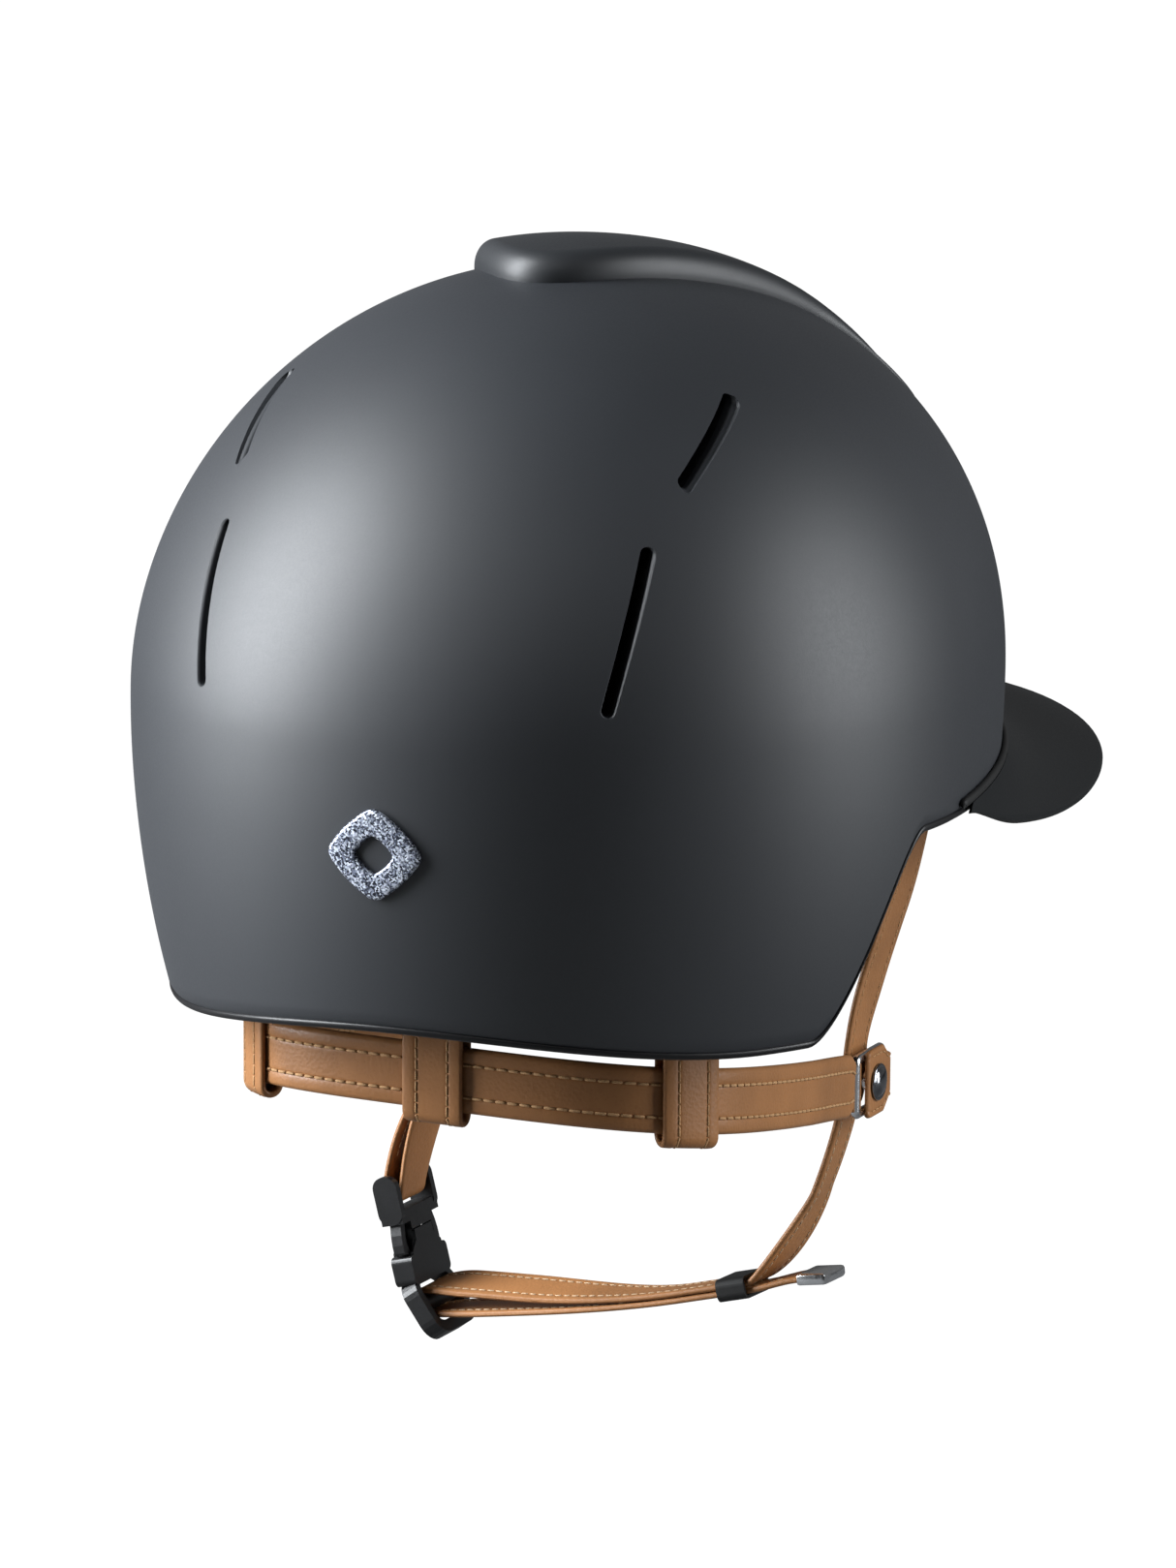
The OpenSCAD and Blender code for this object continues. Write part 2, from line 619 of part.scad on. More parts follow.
module chin_strap_right() {
    path = bez_run([yz(-chin_y, pivot.z - strap_lead), yz(-chin_y, -126), yz(-58, -138),
                    release_at + [0, -0.2, 0.7]], 8);
    color(leather_color)
    sweep(path, [for (p = path) [1, 0, 0]], strap_section(strap_w - 0.4, strap_t));
    strap_end(-1, chin_y, -strap_lead - 0.01, hole_clear_r);
}

slide_angle = 14;
slide_dir = [0, cos(slide_angle), -sin(slide_angle)];
slide_up = [0, sin(slide_angle), cos(slide_angle)];
slider_at = yz(-30.7, -177.9);
slider_l = 8.5;
slider_w = 17.8;
slider_h = 6.4;
slider_travel = 12;
layer = strap_t / 2 + 0.2;
tail_end = yz(-51, -173);
// Strap from the bend, through the slider, round the buckle's bar and back to the tip
module chin_loop_strap() {
    in_right = slider_at - (slider_l / 2 + 1) * slide_dir;
    in_left = slider_at + (slider_l / 2 + slider_travel + 1) * slide_dir;
    fall = bez_run([release_at + [0, 0.3, -0.7], yz(-51.4, -155.5),
                    in_right + layer * slide_up - 7 * slide_dir + [0, 0, 3.4],
                    in_right + layer * slide_up], 12);
    over = bez_run([in_left + layer * slide_up, in_left + layer * slide_up + 30 * slide_dir,
                    loop_bar + loop_wrap_r * loop_up - 8 * loop_side,
                    loop_bar + loop_wrap_r * loop_up], 14);
    turn = [for (b = [75:-18.4:-54]) loop_bar + loop_wrap_r * (cos(b) * loop_side + sin(b) * loop_up)];
    leave = loop_bar + loop_wrap_r * (cos(72) * loop_side - sin(72) * loop_up);
    under = bez_run([leave, leave - 9 * (sin(72) * loop_side + cos(72) * loop_up),
                     in_left - layer * slide_up + 34 * slide_dir, in_left - layer * slide_up], 14);
    tail = bez_run([in_right - layer * slide_up, in_right - layer * slide_up - 5 * slide_dir,
                    tail_end + [0, 5, -0.7], tail_end], 4);
    wide = concat([for (i = [0:12]) roll_dir(fall_roll * sin(15 * i) + slider_roll * smooth(i / 12))],
                  [for (i = [0:14])
                   mix(roll_dir(mix(slider_roll, run_roll, smooth(i / 7))), buckle_across,
                       smooth((i - 10) / 4))],
                  [for (p = turn) buckle_across],
                  [for (i = [0:14])
                   mix(buckle_across, roll_dir(mix(6, slider_roll, smooth(i / 14))), smooth(i / 5))],
                  [for (p = tail) roll_dir(slider_roll)]);
    color(leather_color)
    sweep(concat(fall, over, turn, under, tail), wide, strap_section(strap_w - 0.4, strap_t));
}

tip_w = 16;
tip_l = 8.4;
tip_h = 3.4;
module strap_tip() {
    aim = atan2(0.7, -5);
    color(chrome_color)
    translate(tail_end + [0, 1, -0.1]) rotate([aim + 180, 0, 0]) rotate([0, -slider_roll, 0])
    rotate([0, 0, 180])
    difference() {
        translate([0, tip_l / 2, 0]) linear_extrude(tip_h, center = true)
        polygon(rounded(tip_w, tip_l, 2));
        translate([-strap_w / 2 - 0.1, -1, -strap_t / 2 - 0.35]) cube([strap_w + 0.2, 3.4, strap_t + 0.7]);
    }
}

module slider_frame() {
    translate(slider_at) rotate([-slide_angle, 0, 0]) rotate([0, -slider_roll, 0]) children();
}
module strap_slider() {
    color(black_color) slider_frame() rotate([90, 0, 0])
    difference() {
        linear_extrude(slider_l, center = true) polygon(rounded(slider_w, slider_h, 2.2));
        linear_extrude(slider_l + 2, center = true) polygon(rounded(15.5, 4.5, 1));
    }
}

// ---- Side-release buckle, drawn along its own axis with the shell's end up ----
module buckle_frame() {
    translate(buckle_at) rotate([-buckle_tilt, 0, 0]) rotate([0, 0, buckle_twist]) children();
}
// Outline drawn in the buckle's broad plane, and given a thickness through it
module broad(thick) {
    rotate([90, 0, 0]) linear_extrude(thick, center = true) children();
}
buckle_w = 22;
block_t = 6.6;
slab_z = 9.2;
prong_x = 8.3;
prong_z = 11;
root_r = 1.5;
module buckle_male() {
    color(black_color) buckle_frame() {
        difference() {
            union() {
                translate([-11, -3.4, slab_z]) cube([22, 6.8, 3.6]);
                for (s = [-1, 1])
                    translate([s * 10.05, 0, slab_z + 7]) rotate([90, 0, 90])
                    linear_extrude(2.3, center = true) polygon(rounded(7.6, 14, 3.4));
            }
            for (s = [-1, 1]) {
                translate([s * prong_x, 0, prong_z]) rotate([90, 0, 0])
                cylinder(r = root_r + 0.06, h = 3.7, center = true, $fn = 48);
                translate([s * prong_x - 1.9, -1.85, slab_z - 1])
                cube([3.8, 3.7, prong_z - slab_z + 0.6]);
            }
        }
        translate([0, 0, top_bar_z]) rotate([0, 90, 0]) cylinder(r = pin_r, h = 19, center = true, $fn = 48);
        translate([-6.3, -3.3, 6.8]) cube([12.6, 6.6, 2.8]);
        translate([-2.2, -1.5, -6]) cube([4.4, 3, 13.5]);
    }
}

// Sprung prong: a rounded root, a bowed arm to press and a barb that locks under the lip
module prong(side) {
    color(black_color) buckle_frame() {
        translate([side * prong_x, 0, prong_z]) rotate([90, 0, 0])
        cylinder(r = root_r, h = 3.4, center = true, $fn = 48);
        broad(3.4) mirror([side < 0 ? 1 : 0, 0])
        polygon([[7.2, prong_z], [7.4, 8.2], [8.3, 5.4], [8.5, 3], [7.4, 0.8], [6.4, -1.6], [6.2, -6.5],
                 [7.6, -6.5], [9.3, -3.8], [9.3, -2.2], [8.3, -2.2], [8.3, 0.4], [10.6, 0.4],
                 [10.9, 1], [10.9, 3.2], [10.5, 6], [9.8, 8.4], [9.4, prong_z]]);
    }
}
module buckle_prong_front() { prong(1); }
module buckle_prong_rear() { prong(-1); }

block_low = -8.8;
block_high = -0.2;
module buckle_female() {
    color(black_color) buckle_frame() {
        difference() {
            union() {
                translate([0, 0, (block_low + block_high) / 2])
                broad(block_t) polygon(rounded(buckle_w, block_high - block_low, 1.8));
                translate([0, 0, loop_z]) rotate([-loop_bend, 0, 0]) broad(5.2)
                difference() {
                    translate([0, -7.4]) polygon(rounded(23, 18.8, 5.5));
                    translate([0, -6.7]) polygon(rounded(17.8, 13, 3));
                }
            }
            translate([-9.6, -2.05, -7.6]) cube([19.2, 4.1, 5.7]);
            translate([-8.6, -2.05, -5]) cube([17.2, 4.1, 6]);
        }
        for (s = [-1, 1]) translate([0, s * 2.8, 0])
            broad(1) polygon([[-8.6, -1.2], [-8.6, 0.6], [-5.4, 3.6], [-5.2, 6.4],
                              [5.2, 6.4], [5.4, 3.6], [8.6, 0.6], [8.6, -1.2]]);
        translate([0, 0, loop_z]) rotate([-loop_bend, 0, 0]) translate([0, 0, -loop_bar_s])
        rotate([0, 90, 0]) cylinder(r = loop_bar_r, h = 19, center = true, $fn = 48);
    }
}

outer_shell();
crest_cover();
front_grille();
visor();
visor_seal();
rim_trim();
badge();
shock_liner();
headband_pad();
crown_pad();
hook_dots();
anchor_plates();
anchor_screws();
nape_band();
hanger_centre();
hanger_left();
hanger_right();
temple_strap_left();
temple_strap_right();
side_ring_left();
side_ring_right();
snap_stud_left();
snap_stud_right();
keeper_flap_left();
keeper_flap_right();
snap_cap_left();
snap_cap_right();
strap_eyelet_left();
strap_eyelet_right();
chin_strap_left();
chin_strap_right();
chin_loop_strap();
strap_slider();
strap_tip();
buckle_male();
buckle_prong_front();
buckle_prong_rear();
buckle_female();
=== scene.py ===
import math

import bmesh
import bpy
import numpy as np
from mathutils import Matrix, Vector


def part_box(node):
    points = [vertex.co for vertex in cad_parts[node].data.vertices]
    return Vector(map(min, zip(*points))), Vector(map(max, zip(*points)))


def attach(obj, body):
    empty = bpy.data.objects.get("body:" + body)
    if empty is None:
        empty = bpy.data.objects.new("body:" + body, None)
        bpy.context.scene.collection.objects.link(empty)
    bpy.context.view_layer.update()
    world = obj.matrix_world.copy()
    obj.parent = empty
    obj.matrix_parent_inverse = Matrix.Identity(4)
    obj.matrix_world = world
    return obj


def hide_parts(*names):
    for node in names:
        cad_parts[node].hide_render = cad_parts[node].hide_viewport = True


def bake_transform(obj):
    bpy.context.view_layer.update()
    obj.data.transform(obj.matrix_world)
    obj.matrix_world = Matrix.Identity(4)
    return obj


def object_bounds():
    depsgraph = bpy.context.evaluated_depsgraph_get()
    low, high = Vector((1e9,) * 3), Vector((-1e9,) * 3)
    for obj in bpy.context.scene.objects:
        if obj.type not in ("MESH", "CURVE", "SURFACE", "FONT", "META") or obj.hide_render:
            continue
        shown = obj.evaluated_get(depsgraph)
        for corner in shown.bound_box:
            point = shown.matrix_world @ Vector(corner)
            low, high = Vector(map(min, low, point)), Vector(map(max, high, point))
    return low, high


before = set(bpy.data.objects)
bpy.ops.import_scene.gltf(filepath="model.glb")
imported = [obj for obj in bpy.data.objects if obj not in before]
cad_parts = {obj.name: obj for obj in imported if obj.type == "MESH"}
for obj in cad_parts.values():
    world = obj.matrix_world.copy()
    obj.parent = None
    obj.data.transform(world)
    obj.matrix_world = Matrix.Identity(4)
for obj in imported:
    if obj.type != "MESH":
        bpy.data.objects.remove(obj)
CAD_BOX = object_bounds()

# All shapes below are worked out in millimetres, as in the CAD source, and scaled to metres
# when a mesh is made. +X is the front, +Y the wearer's left, +Z up.
MM = 0.001

# ---- Shell shape, the same curves as the CAD part ----
HALF_W, FRONT_R, REAR_R, CROWN_H, SKIRT_H = 114.0, 156.0, 117.0, 112.0, 196.0
CROWN_POW, CROWN_SWING, CROWN_SHIFT = 2.015, 0.115, 7.6
LEAN_W = 26.0  # height over which the crown's shift forward fades in
NAPE_Z, EAR_Z, TEMPLE_Z, BROW_Z = -73.2, -80.7, -27.7, -19.2  # the rim's heights, rear to front
SHELL_T = 3.2
STRAP_W, STRAP_T = 15.0, 1.6
PIVOT = np.array([60.0, 67.4, -116.0])  # centre of the left side ring
WIRE_R, BAR_X = 1.3, 9.7  # the ring's wire, and how far its rear bar lies from the centre


def smooth(t):
    c = np.clip(t, 0, 1)
    return c * c * (3 - 2 * c)


def mix(a, b, t):
    return a + (b - a) * t


def circle(n):
    return np.linspace(0, 2 * np.pi, n, endpoint=False)


def unit(v):
    v = np.asarray(v, float)
    return v / np.maximum(np.linalg.norm(v, axis=-1, keepdims=True), 1e-12)


def shell_pt(a, z, off):
    """Points of the shell's surface at azimuth a (degrees) and height z, moved out by off."""
    a, z, off = np.broadcast_arrays(np.radians(a), np.asarray(z, float), np.asarray(off, float))
    ca, sa = np.cos(a), np.sin(a)
    rx = np.where(ca > 0, FRONT_R, REAR_R) + off
    m = CROWN_POW + CROWN_SWING * ca
    up = np.clip(z / (CROWN_H + off), 0, 1)
    s = np.where(z >= 0, (1 - up ** m) ** (1 / m),
                 np.sqrt(np.clip(1 - (z / (SKIRT_H + off)) ** 2, 0, 1)))
    lean = np.where(z < -LEAN_W, 0, np.where(z > LEAN_W, z, (z + LEAN_W) ** 2 / (4 * LEAN_W)))
    return np.stack([rx * ca * s + CROWN_SHIFT * lean / CROWN_H, (HALF_W + off) * sa * s, z], -1)


def crest_pt(tip, lean, off):
    """Points of the shell's surface by angles forward of the crown and sideways."""
    t, l, off = np.broadcast_arrays(np.radians(tip), np.radians(lean), np.asarray(off, float))
    d = np.stack([np.sin(t) * np.cos(l), np.sin(l), np.cos(t) * np.cos(l)], -1)
    rx = np.where(d[..., 0] > 0, FRONT_R, REAR_R) + off
    q = np.hypot(d[..., 0] / rx, d[..., 1] / (HALF_W + off))
    m = CROWN_POW + CROWN_SWING * (d[..., 0] / rx) / np.maximum(q, 1e-9)
    r = (q ** m + np.abs(d[..., 2] / (CROWN_H + off)) ** m) ** (-1 / m)
    p = d * r[..., None]
    p[..., 0] += CROWN_SHIFT * p[..., 2] / CROWN_H
    return p


def rim_z(a):
    """Height of the shell's lower edge at azimuth a in degrees."""
    a = np.asarray(a, float) % 360
    f = np.where(a > 180, 360 - a, a)
    nape = mix(NAPE_Z, EAR_Z, smooth((180 - f) / 55))
    side = mix(nape, TEMPLE_Z, smooth((117 - f) / 19))
    return np.where(f > 98, side, mix(TEMPLE_Z, BROW_Z, smooth((98 - f) / 98)))


def azimuths(step, fine):
    """Columns round the shell, closer together where its lower edge climbs."""
    half = np.concatenate([
        np.arange(0, 96, step), np.arange(96, 120, fine), np.arange(120, 180, step)])
    return np.concatenate([half, [180.0], 360 - half[:0:-1]])


def add_object(name, data):
    obj = bpy.data.objects.new(name, data)
    bpy.context.scene.collection.objects.link(obj)
    return obj


# ---- Mesh building ----
STITCH_SIDES = 6
# Places across a sewn row, from its middle, where the leather's face gets a column of points
GROOVE_AT = (-1.3, -0.8, -0.45, -0.2, 0, 0.2, 0.45, 0.8, 1.3)
ROUND_END = ([0, 0.02, 0.05, 0.08, 1], [0.35, 0.7, 0.93, 1, 1])  # strap widths near a round end


class Solid:
    """Collects closed skins with a material number each, then makes one object of them."""

    def __init__(self):
        self.verts, self.faces, self.marks, self.count = [], [], [], 0

    def add(self, verts, faces, mark=0):
        self.verts.append(np.asarray(verts, float).reshape(-1, 3))
        self.faces += [[i + self.count for i in f] for f in faces]
        self.marks += [mark] * len(faces)
        self.count += len(self.verts[-1])
        return self

    def skin(self, rings, loop=False, mark=0, poles=False):
        """Closed skin over rings of points, shape (rings, points, 3)."""
        rings = np.asarray(rings, float)
        n, m = rings.shape[:2]
        faces = []
        for i in range(n if loop else n - 1):
            a, b = i * m, ((i + 1) % n) * m
            faces += [[a + j, a + (j + 1) % m, b + (j + 1) % m, b + j] for j in range(m)]
        verts = rings.reshape(-1, 3)
        if not loop and poles:
            verts = np.concatenate([verts, rings[:1].mean(1), rings[-1:].mean(1)])
            faces += [[n * m, (j + 1) % m, j] for j in range(m)]
            faces += [[n * m + 1, (n - 1) * m + j, (n - 1) * m + (j + 1) % m] for j in range(m)]
        elif not loop:
            k = (n - 1) * m
            for j in range(m // 2 - 1):
                faces.append([j + 1, j, m - 1 - j, m - 2 - j])
                faces.append([k + j, k + j + 1, k + m - 2 - j, k + m - 1 - j])
        return self.add(verts, faces, mark)

    def piece(self, name, mats, slot, body=None, sharp=None):
        mesh = bpy.data.meshes.new(name)
        mesh.from_pydata((np.concatenate(self.verts) * MM).tolist(), [], self.faces)
        for m in mats:
            mesh.materials.append(m)
        mesh.polygons.foreach_set("material_index", np.array(self.marks, np.int32))
        bm = bmesh.new()
        bm.from_mesh(mesh)
        bmesh.ops.recalc_face_normals(bm, faces=bm.faces)
        bm.to_mesh(mesh)
        bm.free()
        mesh.polygons.foreach_set("use_smooth", np.ones(len(mesh.polygons), bool))
        if sharp:
            mesh.set_sharp_from_angle(angle=math.radians(sharp))
        obj = add_object(name, mesh)
        if body:
            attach(obj, body)
        return obj


def cut(obj, cutter, sharp=30):
    """Takes the cutter's volume out of obj for good."""
    mod = obj.modifiers.new("cut", "BOOLEAN")
    mod.object, mod.operation, mod.solver = cutter, "DIFFERENCE", "EXACT"
    bpy.context.view_layer.update()
    made = bpy.data.meshes.new_from_object(obj.evaluated_get(bpy.context.evaluated_depsgraph_get()))
    obj.modifiers.remove(mod)
    old = obj.data
    obj.data = made
    bpy.data.meshes.remove(old)
    bpy.data.objects.remove(cutter)
    made.polygons.foreach_set("use_smooth", np.ones(len(made.polygons), bool))
    made.set_sharp_from_angle(angle=math.radians(sharp))


def bez(p, n):
    """n points along a cubic curve with the control points p."""
    p = np.asarray(p, float)
    t = np.linspace(0, 1, n)[:, None]
    u = 1 - t
    return u ** 3 * p[0] + 3 * u * u * t * p[1] + 3 * u * t * t * p[2] + t ** 3 * p[3]


def resample(path, wide, step):
    """The path and its width directions at even spacing along its length."""
    path, wide = np.asarray(path, float), np.asarray(wide, float)
    keep = np.concatenate([[True], np.linalg.norm(np.diff(path, axis=0), axis=1) > 1e-6])
    path, wide = path[keep], wide[keep]
    s = np.concatenate([[0], np.cumsum(np.linalg.norm(np.diff(path, axis=0), axis=1))])
    n = max(2, int(round(s[-1] / step)) + 1)
    at = np.linspace(0, s[-1], n)
    return along(at, s, path), along(at, s, wide), at


def soften(path, times):
    """Smooths the corners of a path, keeping its ends."""
    path = path.copy()
    for _ in range(times):
        path[1:-1] = path[1:-1] * 0.5 + (path[:-2] + path[2:]) * 0.25
    return path


def along(s, at, values):
    """Points or directions given at the lengths in at, read at the lengths s."""
    return np.stack([np.interp(s, at, values[:, k]) for k in range(3)], -1)


def frames(path, wide):
    """Unit vectors along a path, across it and out of its face."""
    t = unit(np.gradient(path, axis=0))
    w = unit(wide - np.sum(wide * t, -1, keepdims=True) * t)
    return t, w, np.cross(w, t)


def capsules(solid, starts, ends, r, mark):
    """Short rounded rods, one per stitch."""
    d = unit(ends - starts)
    side = unit(np.cross(d, np.where(np.abs(d[:, 2:]) > 0.9, [[1.0, 0, 0]], [[0, 0, 1.0]])))
    up = np.cross(d, side)
    ang = circle(STITCH_SIDES)
    ring = np.cos(ang)[None, :, None] * side[:, None] + np.sin(ang)[None, :, None] * up[:, None]
    for i in range(len(starts)):
        rings = [starts[i] - d[i] * r * 0.8 + ring[i] * r * 0.4, starts[i] + ring[i] * r,
                 ends[i] + ring[i] * r, ends[i] + d[i] * r * 0.8 + ring[i] * r * 0.4]
        solid.skin(rings, mark=mark)


def strap_profile(width, thick, rows, groove=0.28, puff=0.1):
    """Half widths and heights of a strap's upper face, with rounded edges and sewn grooves."""
    half, r = width / 2, min(thick / 2, width / 2)
    corner = half - r + r * np.sin(np.radians([20, 45, 65, 80, 90]))
    xs = [0.0, *corner, half - r, (half - r) * 0.6, (half - r) * 0.3]
    for row in rows:
        xs += [abs(row) + k for k in GROOVE_AT if 0 < abs(row) + k < half - r]
    xs = np.unique(np.round(np.array(xs), 4))
    x = np.concatenate([-xs[:0:-1], xs])
    over = np.clip(np.abs(x) - (half - r), 0, r)
    h = thick / 2 - r + np.sqrt(np.maximum(r * r - over ** 2, 0))
    soft = np.sqrt(np.clip(1 - (over / r) ** 2, 0, 1))
    for row in rows:
        h = h - groove * np.exp(-((x - row) / 0.42) ** 2) * soft
        edge = np.sign(row) * (abs(row) + half) / 2
        h = h + puff * np.exp(-((x - edge) / 1.2) ** 2) * soft
    return x, h


def strap(solid, path, wide, width, thick, rows=(), step=0.9, widths=None, skip=(0, 0),
          stitch=(2.1, 0.9, 0.26), groove=0.28, puff=0.1, smooth_times=2):
    """Leather strap along a path, with sewn rows of real stitches on both faces.

    widths scales the width along the length, stitch is (length, gap, radius), and skip leaves
    the rows' ends bare.
    """
    path, wide, at = resample(path, wide, step)
    path = soften(path, smooth_times)
    t, w, b = frames(path, wide)
    x, h = strap_profile(width, thick, rows, groove, puff)
    scale = np.ones(len(at)) if widths is None else np.interp(at / at[-1], *widths)
    end = np.minimum(at, at[-1] - at)
    flat = np.sqrt(np.clip(1 - (1 - np.clip(end / (thick * 0.5), 0, 1)) ** 2, 0.02, 1))
    middle = path[:, None] + w[:, None] * (x[None, :, None] * scale[:, None, None])
    rise = b[:, None] * (h[None, :, None] * flat[:, None, None])
    solid.skin(np.concatenate([middle + rise, (middle - rise)[:, ::-1]], 1))
    pitch = stitch[0] + stitch[1]
    for row in rows:
        hh = float(np.interp(row, x, h))
        s0 = np.arange(1.5 + skip[0], at[-1] - 1.5 - skip[1] - stitch[0], pitch)
        for face in (1, -1):
            def place(s):
                p, ww, bb = (along(s, at, q) for q in (path, w, b))
                sc = np.interp(s, at, scale)[:, None]
                return p + ww * row * sc + bb * face * (hh + stitch[2] * 0.55)
            capsules(solid, place(s0), place(s0 + stitch[0]), stitch[2], 1)
    return path, w, b, at


def lathe(solid, centre, axis, profile, sides=64):
    """Solid of revolution; profile is (radius, height along the axis)."""
    axis = unit(axis)
    side = unit(np.cross(axis, [0.3, 0.5, 0.8]))
    up = np.cross(axis, side)
    ang = circle(sides)
    ring = np.cos(ang)[:, None] * side + np.sin(ang)[:, None] * up
    solid.skin([np.asarray(centre) + ring * r + axis * h for r, h in profile], poles=True)


# ---- Materials ----
def material(name, colour, rough, metallic=0.0, spec=0.5):
    """Principled material with one colour and roughness, before any texture is plugged in."""
    m = bpy.data.materials.new(name)
    m.use_nodes = True
    bsdf = m.node_tree.nodes["Principled BSDF"]
    for key, v in (("Base Color", (*colour, 1)), ("Roughness", rough), ("Metallic", metallic),
                   ("Specular IOR Level", spec)):
        bsdf.inputs[key].default_value = v
    m.diffuse_color = (*colour, 1)
    return m


def texture(m, kind, scale, detail=2.0, **values):
    """A noise or voronoi texture, scale in cells per millimetre; returns its node."""
    nt = m.node_tree
    coord = nt.nodes.get("coord") or nt.nodes.new("ShaderNodeTexCoord")
    coord.name = "coord"
    node = nt.nodes.new("ShaderNodeTexNoise" if kind == "noise" else "ShaderNodeTexVoronoi")
    node.inputs["Scale"].default_value = scale * 1000
    if kind == "noise":
        node.inputs["Detail"].default_value = detail
    for key, v in values.items():
        node.inputs[key].default_value = v
    nt.links.new(coord.outputs["Object"], node.inputs["Vector"])
    return node


def ramp(m, out, stops):
    """Colours by value; stops gives pairs of (value, colour)."""
    node = m.node_tree.nodes.new("ShaderNodeValToRGB")
    while len(node.color_ramp.elements) < len(stops):
        node.color_ramp.elements.new(0.5)
    for e, (p, c) in zip(node.color_ramp.elements, stops):
        e.position, e.color = p, (*c, 1)
    m.node_tree.links.new(out, node.inputs["Fac"])
    return node.outputs["Color"]


def spread(m, out, low, high):
    """Maps a texture's middle range to low..high."""
    node = m.node_tree.nodes.new("ShaderNodeMapRange")
    node.inputs["From Min"].default_value, node.inputs["From Max"].default_value = 0.3, 0.7
    node.inputs["To Min"].default_value, node.inputs["To Max"].default_value = low, high
    m.node_tree.links.new(out, node.inputs["Value"])
    return node.outputs["Result"]


def bump(m, out, depth_mm, strength, below=None):
    node = m.node_tree.nodes.new("ShaderNodeBump")
    node.inputs["Distance"].default_value = depth_mm * MM
    node.inputs["Strength"].default_value = strength
    m.node_tree.links.new(out, node.inputs["Height"])
    if below is not None:
        m.node_tree.links.new(below, node.inputs["Normal"])
    return node.outputs["Normal"]


def plug(m, out, socket):
    m.node_tree.links.new(out, m.node_tree.nodes["Principled BSDF"].inputs[socket])


def tones(colour, *gains):
    return [tuple(c * g for c in colour) for g in gains]


def make_paint(name, colour, rough, spec, grain):
    m = material(name, colour, rough, spec=spec)
    cloud = texture(m, "noise", 0.012, 3.0).outputs["Fac"]
    low, high = tones(colour, 0.9, 1.1)
    plug(m, ramp(m, cloud, [(0.3, low), (0.7, high)]), "Base Color")
    fleck = texture(m, "noise", 1.6, 2.0).outputs["Fac"]
    plug(m, spread(m, fleck, rough - 0.03, rough + 0.03), "Roughness")
    plug(m, bump(m, texture(m, "noise", 2.6, 2.0).outputs["Fac"], grain, 0.6), "Normal")
    return m


def make_leather(name, colour, rough=0.42):
    m = material(name, colour, rough, spec=0.34)
    broad = texture(m, "noise", 0.03, 4.0).outputs["Fac"]
    low, middle, high = tones(colour, 0.74, 1.0, 1.2)
    base = ramp(m, broad, [(0.28, low), (0.5, middle), (0.74, high)])
    pores = texture(m, "voronoi", 0.95, Randomness=1.0).outputs["Distance"]
    fine = texture(m, "noise", 1.8, 6.0).outputs["Fac"]
    shade = ramp(m, pores, [(0.0, (0.72, 0.7, 0.68)), (0.35, (1, 1, 1))])
    mixer = m.node_tree.nodes.new("ShaderNodeMix")
    mixer.data_type, mixer.blend_type = "RGBA", "MULTIPLY"
    mixer.inputs["Factor"].default_value = 0.45
    m.node_tree.links.new(base, mixer.inputs["A"])
    m.node_tree.links.new(shade, mixer.inputs["B"])
    plug(m, mixer.outputs["Result"], "Base Color")
    plug(m, spread(m, fine, rough - 0.07, rough + 0.1), "Roughness")
    grain = bump(m, pores, 0.1, 0.55)
    plug(m, bump(m, fine, 0.05, 0.5, grain), "Normal")
    return m


def make_moulded(name, colour, rough, spec, texture_depth=0.03):
    m = material(name, colour, rough, spec=spec)
    cloud = texture(m, "noise", 0.08, 3.0).outputs["Fac"]
    low, high = tones(colour, 0.8, 1.25)
    plug(m, ramp(m, cloud, [(0.3, low), (0.7, high)]), "Base Color")
    fleck = texture(m, "noise", 2.2, 2.0).outputs["Fac"]
    plug(m, spread(m, fleck, rough - 0.05, rough + 0.06), "Roughness")
    plug(m, bump(m, fleck, texture_depth, 0.5), "Normal")
    return m


def make_metal(name, colour, rough):
    m = material(name, colour, rough, metallic=1.0)
    scuff = texture(m, "noise", 0.9, 5.0).outputs["Fac"]
    plug(m, spread(m, scuff, rough * 0.85, rough * 1.3), "Roughness")
    low, high = tones(colour, 0.86, 1.0)
    cloud = texture(m, "noise", 0.1, 2.0).outputs["Fac"]
    plug(m, ramp(m, cloud, [(0.3, low), (0.7, high)]), "Base Color")
    plug(m, bump(m, scuff, 0.003, 0.2), "Normal")
    return m


def make_thread(name, colour):
    m = material(name, colour, 0.7, spec=0.3)
    twist = texture(m, "noise", 3.0, 2.0).outputs["Fac"]
    low, high = tones(colour, 0.6, 1.15)
    plug(m, ramp(m, twist, [(0.3, low), (0.7, high)]), "Base Color")
    plug(m, bump(m, twist, 0.06, 0.7), "Normal")
    return m


def make_glitter(name):
    m = material(name, (0.16, 0.18, 0.25), 0.3, metallic=0.6, spec=0.8)
    flakes = texture(m, "voronoi", 2.3, Randomness=1.0).outputs["Color"]
    stops = [(0.25, (0.03, 0.035, 0.055)), (0.55, (0.22, 0.25, 0.34)), (0.85, (0.85, 0.9, 1.0))]
    plug(m, ramp(m, flakes, stops), "Base Color")
    plug(m, bump(m, flakes, 0.35, 0.9), "Normal")
    plug(m, spread(m, flakes, 0.15, 0.5), "Roughness")
    return m


